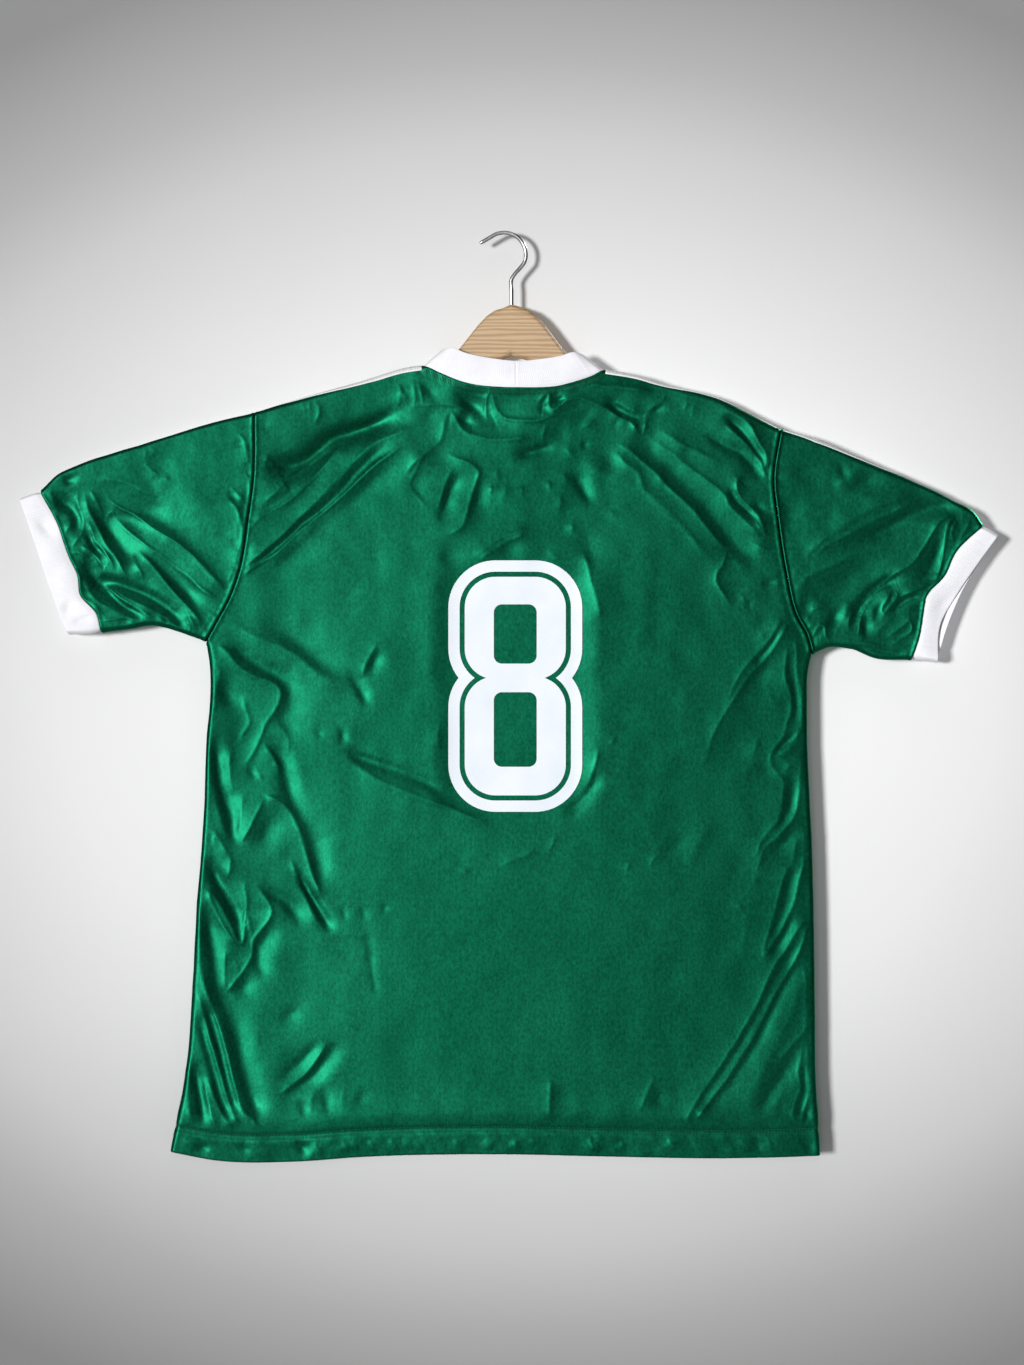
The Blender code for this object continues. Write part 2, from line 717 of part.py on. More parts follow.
def hanger_wood(finish):
    """Bar cut to the slope of the shoulders, with rounded edges, a raised middle and a socket for the hook's stem."""
    out = np.linspace(-1, 1, 2 * WOOD_CELLS + 1)
    stations = STEM_X + WOOD_HALF_WIDTH * out
    arm = arm_top(stations)
    lift = (WOOD_TOP - arm[WOOD_CELLS]) * (1 - smooth_step(PEAK_INNER, PEAK_OUTER, np.abs(stations - STEM_X)))
    height = ARM_HEIGHT + (ARM_TIP_HEIGHT - ARM_HEIGHT) * np.abs(out)
    upper = np.minimum(arm + lift, WOOD_TOP)
    lower = arm + 0.35 * lift - height
    # Towards the tips the bar narrows to a rounded end.
    narrow = np.sqrt(1 - (np.clip(np.abs(out) - 0.93, 0, 0.069) / 0.07) ** 2)
    middle = (upper + lower) / 2
    grid = []
    for x, high, low, centre, share in zip(stations, upper, lower, middle, narrow):
        high, low = centre + (high - centre) * share, centre + (low - centre) * share
        thick = WOOD_THICK / 2 * (0.4 + 0.6 * share)
        corner = min(WOOD_CORNER, 0.45 * (high - low))
        grid.append(
            [
                (x, thick * math.cos(angle), edge + corner * math.sin(angle))
                for edge, start in ((high - corner, 0), (low + corner, math.pi))
                for angle in np.linspace(start, start + math.pi, 7)
            ]
        )
    grid = np.array(grid)
    rows, columns = grid.shape[:2]
    faces = [
        [r * columns + c, r * columns + (c + 1) % columns, (r + 1) * columns + (c + 1) % columns, (r + 1) * columns + c]
        for r in range(rows - 1)
        for c in range(columns)
    ]
    faces += [range(columns)[::-1], range((rows - 1) * columns, rows * columns)]
    wood = add_object("hanger_wood", grid.reshape(-1, 3), faces, finish)
    bpy.ops.mesh.primitive_cylinder_add(
        vertices=16,
        radius=WIRE / 2 + GAP,
        depth=2 * (STEM_DEPTH + GAP),
        location=(STEM_X, 0, WOOD_TOP),
    )
    drill = bpy.context.object
    drill.name = "stem_drill"
    drill.hide_render = True
    socket = wood.modifiers.new("socket", "BOOLEAN")
    socket.operation = "DIFFERENCE"
    socket.object = drill


def hook(finish):
    """Wire hook: a straight stem, a bend out to the right, most of a circle, and a straight tip."""
    crest = WIRE / 2
    centre = np.array([0.0, crest - HOOK_RADIUS])
    arc = [
        centre + HOOK_RADIUS * np.array([math.cos(a), math.sin(a)])
        for a in np.radians(np.arange(-18, 133, 12))
    ]
    neck = np.array([STEM_X, -44 * MM])
    foot = np.array([STEM_X, WOOD_TOP - STEM_DEPTH])
    tip = arc[-1] + 13 * MM * np.array([-0.86, -0.5])
    bend = [
        foot,
        np.array([STEM_X, -55 * MM]),
        neck,
        neck + np.array([3.2 * MM, 5.2 * MM]),
        neck + np.array([8.3 * MM, 11.0 * MM]),
    ]
    route = np.array(bend + arc + [tip])
    points = along(route, np.linspace(0, 1, 44))
    curve = bpy.data.curves.new("hanger_hook", "CURVE")
    curve.dimensions = "3D"
    curve.bevel_depth = WIRE / 2
    curve.bevel_resolution = 2
    curve.use_fill_caps = True
    spline = curve.splines.new("POLY")
    spline.points.add(len(points) - 1)
    for target, (x, z) in zip(spline.points, points):
        target.co = (x, 0, z, 1)
    made = bpy.data.objects.new("hanger_hook", curve)
    made.data.materials.append(finish)
    bpy.context.scene.collection.objects.link(made)
    return made


def main():
    for old in list(bpy.data.objects):
        bpy.data.objects.remove(old)
    cloth = material("green_cloth", (0.006, 0.14, 0.07), 0.38)
    rib = material("white_rib", (0.86, 0.86, 0.89), 0.85)
    tape = material("white_tape", (0.84, 0.86, 0.86), 0.6)
    figure = material("white_print", (0.8, 0.84, 0.88), 0.55)
    wood = material("pale_wood", (0.62, 0.45, 0.27), 0.5)
    steel = material("steel_wire", (0.5, 0.49, 0.48), 0.3, metallic=1.0)

    for side in ("back", "front"):
        body_panel(side, cloth)
    for side in ("left", "right"):
        sleeve_and_cuff(side, cloth, rib)
        stripe(side, tape)
    collar(rib)
    flat_print("figure", [eight_outline(0)] + [counter(*span) for span in COUNTERS], figure)
    flat_print("figure_keyline", [eight_outline(distance) for distance in KEYLINE], figure)
    hanger_wood(wood)
    hook(steel)


main()
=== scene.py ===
"""The looks of a football jersey on a wooden hanger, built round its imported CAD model. Metres, +Z up. The origin is the
top inside of the hanger's hook, and the jersey's back faces -Y.

The jersey hangs nearly flat, so its outline lies in the XZ plane. form() gives the smooth surface over that outline,
relief() the folds, creases and seams that stand on it, and cloth_points() both together. Every piece is a grid of
points on that surface, so that pieces which meet at a seam follow one shape.
"""

import math
from collections import namedtuple

import bmesh
import bpy
import numpy as np
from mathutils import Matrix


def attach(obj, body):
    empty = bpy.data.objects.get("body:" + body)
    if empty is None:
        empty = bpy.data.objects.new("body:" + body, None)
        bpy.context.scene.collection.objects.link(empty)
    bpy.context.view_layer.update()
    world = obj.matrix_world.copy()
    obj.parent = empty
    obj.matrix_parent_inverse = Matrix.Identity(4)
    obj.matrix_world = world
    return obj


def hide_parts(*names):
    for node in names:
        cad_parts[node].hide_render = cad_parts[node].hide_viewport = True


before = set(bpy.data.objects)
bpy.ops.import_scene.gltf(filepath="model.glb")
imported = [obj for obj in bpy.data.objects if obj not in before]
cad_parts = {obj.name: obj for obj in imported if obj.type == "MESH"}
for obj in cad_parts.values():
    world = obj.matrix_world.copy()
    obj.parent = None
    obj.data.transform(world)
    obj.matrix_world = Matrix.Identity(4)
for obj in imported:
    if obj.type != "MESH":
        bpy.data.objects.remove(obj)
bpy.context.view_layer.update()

MM = 0.001

# ---------------------------------------------------------------- sizes, as in the CAD model

RIB = 2.0 * MM  # thickness of the doubled collar and cuffs
GAP = 0.3 * MM  # between neighbours
COLLAR_GAP = 0.4 * MM
BODY_DEPTH = 12 * MM  # from the middle plane to the flat of the back or front
NECK_DEPTH = 19 * MM
EDGE_ROUND = 18 * MM  # width over which a folded edge rounds over
TOP_TIGHTNESS, SIDE_TIGHTNESS = 4.0, 3.6  # how much tighter the cloth itself folds along shoulders and sides
NECK_REACH = 120 * MM
NECK_CENTRE = (9 * MM, -135 * MM)

# Outlines in millimetres from the hook's inside, x and z, at the left and the right as one faces the back
Pair = namedtuple("Pair", "left_x left_z right_x right_z")
SIDE_SEAM = [  # hem corner to underarm
    Pair(-329, -900, 312, -904),
    Pair(-318, -852, 309, -869),
    Pair(-312, -812, 307, -832),
    Pair(-306, -734, 306, -753),
    Pair(-302, -655, 305, -675),
    Pair(-296, -577, 303, -597),
    Pair(-293, -499, 299, -519),
    Pair(-289, -443, 298, -458),
    Pair(-290, -421, 299, -430),
    Pair(-293, -401, 302, -413),
]
ARMHOLE = [  # underarm to shoulder point
    Pair(-293, -401, 302, -413),
    Pair(-282, -381, 297, -395),
    Pair(-270, -359, 286, -374),
    Pair(-260, -332, 276, -332),
    Pair(-251, -279, 268, -279),
    Pair(-246, -242, 264, -242),
    Pair(-245, -175, 271, -192),
]
SHOULDER = [  # shoulder point to neck point
    Pair(-245, -175, 271, -192),
    Pair(-200, -162, 235, -174),
    Pair(-161, -151, 215, -164),
    Pair(-127, -141, 152, -146),
    Pair(-101, -133, 129, -139),
    Pair(-78, -129, 97, -133),
]
SLEEVE_TOP = [  # shoulder point to cuff
    Pair(-245, -175, 271, -192),
    Pair(-280, -183, 300, -200),
    Pair(-359, -207, 354, -223),
    Pair(-418, -226, 443, -262),
    Pair(-438, -235, 463, -274),
    Pair(-456, -253, 471, -287),
]
SLEEVE_BOTTOM = [  # underarm to cuff
    Pair(-293, -401, 302, -413),
    Pair(-306, -396, 320, -406),
    Pair(-320, -391, 341, -408),
    Pair(-348, -385, 368, -418),
    Pair(-365, -388, 383, -419),
    Pair(-396, -392, 401, -418),
]
CUFF_SEAM = [  # top to bottom
    Pair(-456, -253, 471, -287),
    Pair(-440, -282, 444, -313),
    Pair(-427, -318, 433, -336),
    Pair(-419, -335, 415, -357),
    Pair(-416, -355, 412, -373),
    Pair(-400, -374, 409, -392),
    Pair(-396, -392, 401, -418),
]
CUFF_EDGE = [  # top to bottom, on the jersey's back
    Pair(-475, -259, 485, -295),
    Pair(-458, -308, 463, -326),
    Pair(-446, -344, 444, -354),
    Pair(-437, -369, 428, -383),
    Pair(-427, -394, 425, -421),
]
CUFF_EDGE_FRONT = [  # the same edge on the jersey's front
    Pair(-475, -259, 485, -295),
    Pair(-458, -308, 464, -327),
    Pair(-446, -344, 451, -349),
    Pair(-437, -369, 436, -384),
    Pair(-427, -394, 425, -421),
]
Point = namedtuple("Point", "x z")
HEM = [
    Point(-329, -900),
    Point(-280, -909),
    Point(-210, -910),
    Point(-141, -905),
    Point(-2, -902),
    Point(97, -904),
    Point(215, -906),
    Point(283, -905),
    Point(312, -904),
]
NECKLINE = [  # where the collar joins the back
    Point(-78, -129),
    Point(-59, -138),
    Point(-42, -145),
    Point(-22, -149),
    Point(15, -151),
    Point(55, -149),
    Point(73, -144),
    Point(87, -139),
    Point(97, -133),
]
COLLAR_TOP = [  # free edge of the collar at the back
    Point(-62, -114),
    Point(-52, -113),
    Point(-38, -118),
    Point(-15, -123),
    Point(15, -126),
    Point(38, -124),
    Point(56, -121),
    Point(70, -117),
    Point(79, -119),
]
FRONT_DROP = 84 * MM  # from the neck points down to the front neckline
FRONT_TOP_DROP = 75 * MM
COLLAR_TOP_DEPTH = 15 * MM
COLLAR_SEAM_X = 11.8 * MM  # centre back

# Figure on the back: a filled 8 and a line round it. Heights are from its waist.
FIGURE_WAIST = (11 * MM, -436 * MM)
FIGURE_HALF_WIDTH = 49.5 * MM
LOOP_RADIUS = 30 * MM
LOOP_START = 28.6 * MM
UPPER_LOOP = 69 * MM
LOWER_LOOP = 85 * MM
COUNTER_HALF_WIDTH = 21 * MM
COUNTER_RADIUS = 8 * MM
COUNTERS = [(14 * MM, 72 * MM), (-87 * MM, -14 * MM)]
KEYLINE = (5 * MM, 16 * MM)

# Stripes along the ridge of shoulder and sleeve
STRIPE_SPAN = 76  # degrees of the fold that a stripe covers
STRIPE_END = 3 * MM
Reach = namedtuple("Reach", "share left right")
STRIPE_REACH = [  # share of the way from neck to cuff, and how far the stripe comes over to the back in degrees
    Reach(0.00, 45, 43),
    Reach(0.12, 41, 38),
    Reach(0.20, 35, 27),
    Reach(0.28, 24, 10),
    Reach(0.38, 5, 5),
    Reach(0.46, -5, 20),
    Reach(0.54, -10, 36),
    Reach(0.62, -10, 25),
    Reach(0.70, -10, 8),
    Reach(0.80, -10, -5),
    Reach(1.00, -10, -10),
]

WIRE = 3.8 * MM
HOOK_RADIUS = 21.5 * MM
STEM_X = 7.4 * MM
WOOD_TOP = -68.4 * MM
STEM_DEPTH = 16 * MM

# ---------------------------------------------------------------- creases

# A crease follows a route of points. A height above 0 is a ridge and below 0 a trough. start and end are the shares of
# its length over which it fades in and out.
Crease = namedtuple("Crease", "route width height start end", defaults=(0.3, 0.3))

# Creases of the back: width and height in millimetres, then start and end where they aren't 0.2, then the route, which
# carries on over indented lines. Routes are drawn on a grid of 0.98 mm, x to the right and y down, whose corner lies
# 504 left of the hook's inside and 233 above it.
GRID = 0.98
GRID_CORNER = (504, 233)
SHOULDER_CREASES = """
left shoulder
6 -10 .08 .25 | 261,479 270,474 276,468 292,465 307,459 318,450 330,439 349,432 366,427 382,420 394,412 400,400
20 -6 .2 .3 | 272,484 310,463 350,441 398,420
3 2 | 344,436 335,442 322,452 310,462 298,472 286,480 277,490 268,498 262,505 256,512
3 2.2 .15 .1 | 344,437 338,446 331,457 322,468 314,477 303,488 292,498 280,506 268,512 258,520 250,528 247,540 243,552
3 -1.2 | 300,482 284,496 268,508 256,516
4 3 .2 .08 | 428,418 400,432 380,440 365,450 352,463 342,474 330,485 318,499 305,513 293,526 282,537 268,548 255,559
  243,568
4 -4.5 .15 .1 | 392,443 378,452 366,464 352,478 340,492 328,504 315,515 303,524 290,537 276,548 262,560 250,568
  242,573
3.2 4.5 .3 .06 | 426,430 412,438 400,446 390,455 378,463 365,474 352,486 340,497 328,508 315,519 303,529 290,541
  278,552 262,562 250,569 241,578
7 -3.5 | 400,458 376,480 350,503 326,524 306,543 288,560 268,573 252,582
7 -1.6 | 352,450 324,474 290,508 262,536
2.4 1.8 | 398,383 402,392 406,400 408,406
2.4 1.2 | 399,383 400,395 398,405 392,412
2.2 1.8 | 413,378 414,390 415,400 414,408
2.2 1.8 | 416,378 420,388 422,397 424,405
3 1.4 | 405,410 415,407 428,404 440,402
3 -1.8 | 423,380 430,392 440,398
3 -1.2 | 419,420 430,416 440,412
5 1.8 | 440,438 426,448 414,462 405,477
2.2 1.4 | 426,452 419,464 413,476 408,486
5 -1.4 | 428,462 418,478 415,488 424,498 430,506
2.4 1.2 | 408,484 414,493 421,501 426,507
2.2 1.8 | 313,400 318,406 319,414 317,420 312,424
2 1.2 | 309,400 310,409 312,416
2 1 | 302,400 304,408 307,414
2 .8 | 256,420 260,414 264,409
2 1.4 | 263,465 267,459 269,454
4 -1.2 | 258,430 264,424 274,424
14 1.6 | 320,560 330,548 342,540
16 1.4 | 378,575 405,560 440,548
below the collar
22 -9 .1 .3 | 482,374 480,410 476,446
4.5 -5 .15 .1 | 452,388 460,394 468,401 476,408 482,416 485,424
2.4 1.8 | 420,408 432,405 444,404 456,406 466,410 474,415
1.8 1.4 | 452,410 460,412 468,416
3 -3 | 456,414 463,420 470,426 478,430
2.2 2 | 443,420 447,414 451,412 455,417 459,424 464,431 470,435 478,437 488,439 500,440 513,439 526,438 538,436
3 2 .1 .3 | 451,412 446,418 444,426 443,434 440,441 433,447 425,453 416,461 408,470 400,480
2.2 2.6 .1 .25 | 488,424 486,415 486,405 487,398 490,393 493,398 495,406 499,413 504,418 512,420 524,421 536,421
  545,419 552,415 560,412 568,408
2.2 2.6 .08 .1 | 536,407 541,400 546,395 549,393 550,398 549,404 550,408 554,410 558,408 563,403 570,400 577,398
  585,400 592,403 600,406 606,409 613,413 620,417 628,421 633,425 636,432 639,438
2.4 -3 | 554,405 560,399 566,396
3 -2 | 546,400 544,408 541,416
2.8 2.2 | 556,398 562,393 570,389 580,386 592,385 606,386 620,387 636,389 655,392
3.5 -4.5 .15 .2 | 603,396 610,404 618,410 628,416 640,422 644,428
2.4 2 | 611,401 620,405 630,410 642,415
6 -1.4 | 578,410 586,418 592,424
6 -1.8 | 547,428 558,434 574,437
3.6 -3.8 .25 .1 | 510,455 524,454 536,451 548,447 559,443
1.8 1.4 | 546,422 544,432 541,442
4 1.8 | 560,445 570,452 577,462
2 -1.4 | 580,448 590,441
6 -2 | 590,445 602,455 615,466 625,475
3 1.6 | 578,432 588,424 596,418
between the shoulders
4 -3 .1 .2 | 462,466 458,476 453,488 448,502 443,515 438,528
3.4 3 | 440,450 450,455 460,460 468,463 475,468 479,473 477,480 474,490 471,500 468,510 465,520 460,528 452,533
  443,536 434,540
3 2 | 454,466 449,476 445,488 441,500 438,512
5 -2.6 | 484,470 481,485 478,500 474,515 470,528
5 -2 | 440,548 447,556 452,566 456,575
9 -1.6 | 436,548 448,545 462,540 474,535
3.5 1.8 | 496,466 497,474 499,482
2.6 1.4 | 492,484 491,496
3 1.4 | 506,482 504,496 497,504
2.4 1.2 | 522,485 522,499
3 1.2 | 537,484 538,498
2.6 1.4 | 549,479 549,492
3.4 1.8 | 562,471 567,484
3.4 1.8 | 558,492 560,505 556,516
4 2 | 572,518 572,536
3 2 | 581,548 588,568 592,585 597,602 603,626
4 1.6 | 610,475 600,472 590,466 581,459
3 1.2 | 616,510 609,519
4 -2.6 | 567,462 574,474 581,486 588,500 594,512
6 -2 | 580,520 588,545 594,565 598,585
2.6 1.4 | 470,556 482,550 492,542 502,537 514,533 526,527 529,521
2.6 1.6 | 476,562 488,553 498,547 508,541 520,536 529,530
6 -2 | 490,560 502,552 516,546 530,542
3 1.2 | 545,548 555,556 562,562
5 -1.4 | 548,535 562,530 570,524
right shoulder
7 -2.4 .1 .05 | 628,434 636,442 645,448 655,456 668,466 680,478 690,490 702,502 712,514 722,526 732,540 742,550
  752,557 763,561 776,564
3 -2.4 | 666,402 658,409 650,415 647,420
3 -3.6 | 722,412 732,422 742,432 750,442 757,452 763,460 766,466
4 -3 | 700,430 715,440 728,447 740,453 750,462 757,472 763,480 768,486
2.6 -2.4 | 728,482 731,492 736,500 744,508 752,516 757,524
2.4 -1.8 | 748,500 756,506 764,512 768,516
2.5 -2 | 760,583 770,583 778,582
3 -1.6 | 742,600 748,605 754,609
4 -1 | 612,420 620,426
5 -1.2 | 680,447 690,455 697,460
6 -1 | 602,458 612,464 622,470
2.2 2.4 | 604,408 612,412 620,417 628,420 634,424 637,431 641,437
2 2 | 646,414 646,422 645,430 642,436
3 2 | 647,414 654,407 661,402 665,395 666,390
3 1.4 | 600,388 615,389 635,390 655,392
2.8 2.6 .15 .05 | 614,440 624,447 632,452 640,459 650,468 658,475 663,481 668,487 675,493 683,500 691,508 699,517
  707,527 714,536 721,544 727,551
2.4 2.4 .05 .3 | 727,551 723,564 718,571 716,578 718,586 723,594 728,602 732,612
4 2.2 | 612,440 613,450 620,457 628,466 637,472 641,480 642,487 650,496 660,505 668,513 676,521 684,530 692,538
  700,547 706,556 710,565
2 1.2 | 655,485 658,479 663,486
3.2 2.3 .15 .05 | 645,435 655,442 665,449 675,456 683,463 692,470 702,477 712,484 720,490 725,496 729,505 736,513
  744,520 752,528 758,535 763,541
4 2 | 652,427 662,431 672,438 682,445 694,450 706,456 716,463 726,470
2.4 2.8 .1 .05 | 745,478 738,478 736,486 738,494 744,503 752,510 758,516 762,524 765,532 767,538
2.4 3 .2 .08 | 719,405 728,411 737,416 746,421 752,428 756,437 760,445 765,454 767,462 766,470
2.4 2.8 .2 .08 | 722,422 731,430 740,438 748,446 755,454 760,463 763,471 766,478
2 .8 | 688,398 686,406 683,414
2 .8 | 698,398 694,408 692,418
3 1.6 | 748,540 757,546 766,550 774,552
1.8 1.4 | 755,522 760,528 765,536
8 2 | 728,556 742,566 752,578
3 1.4 | 739,590 744,600 748,610
"""
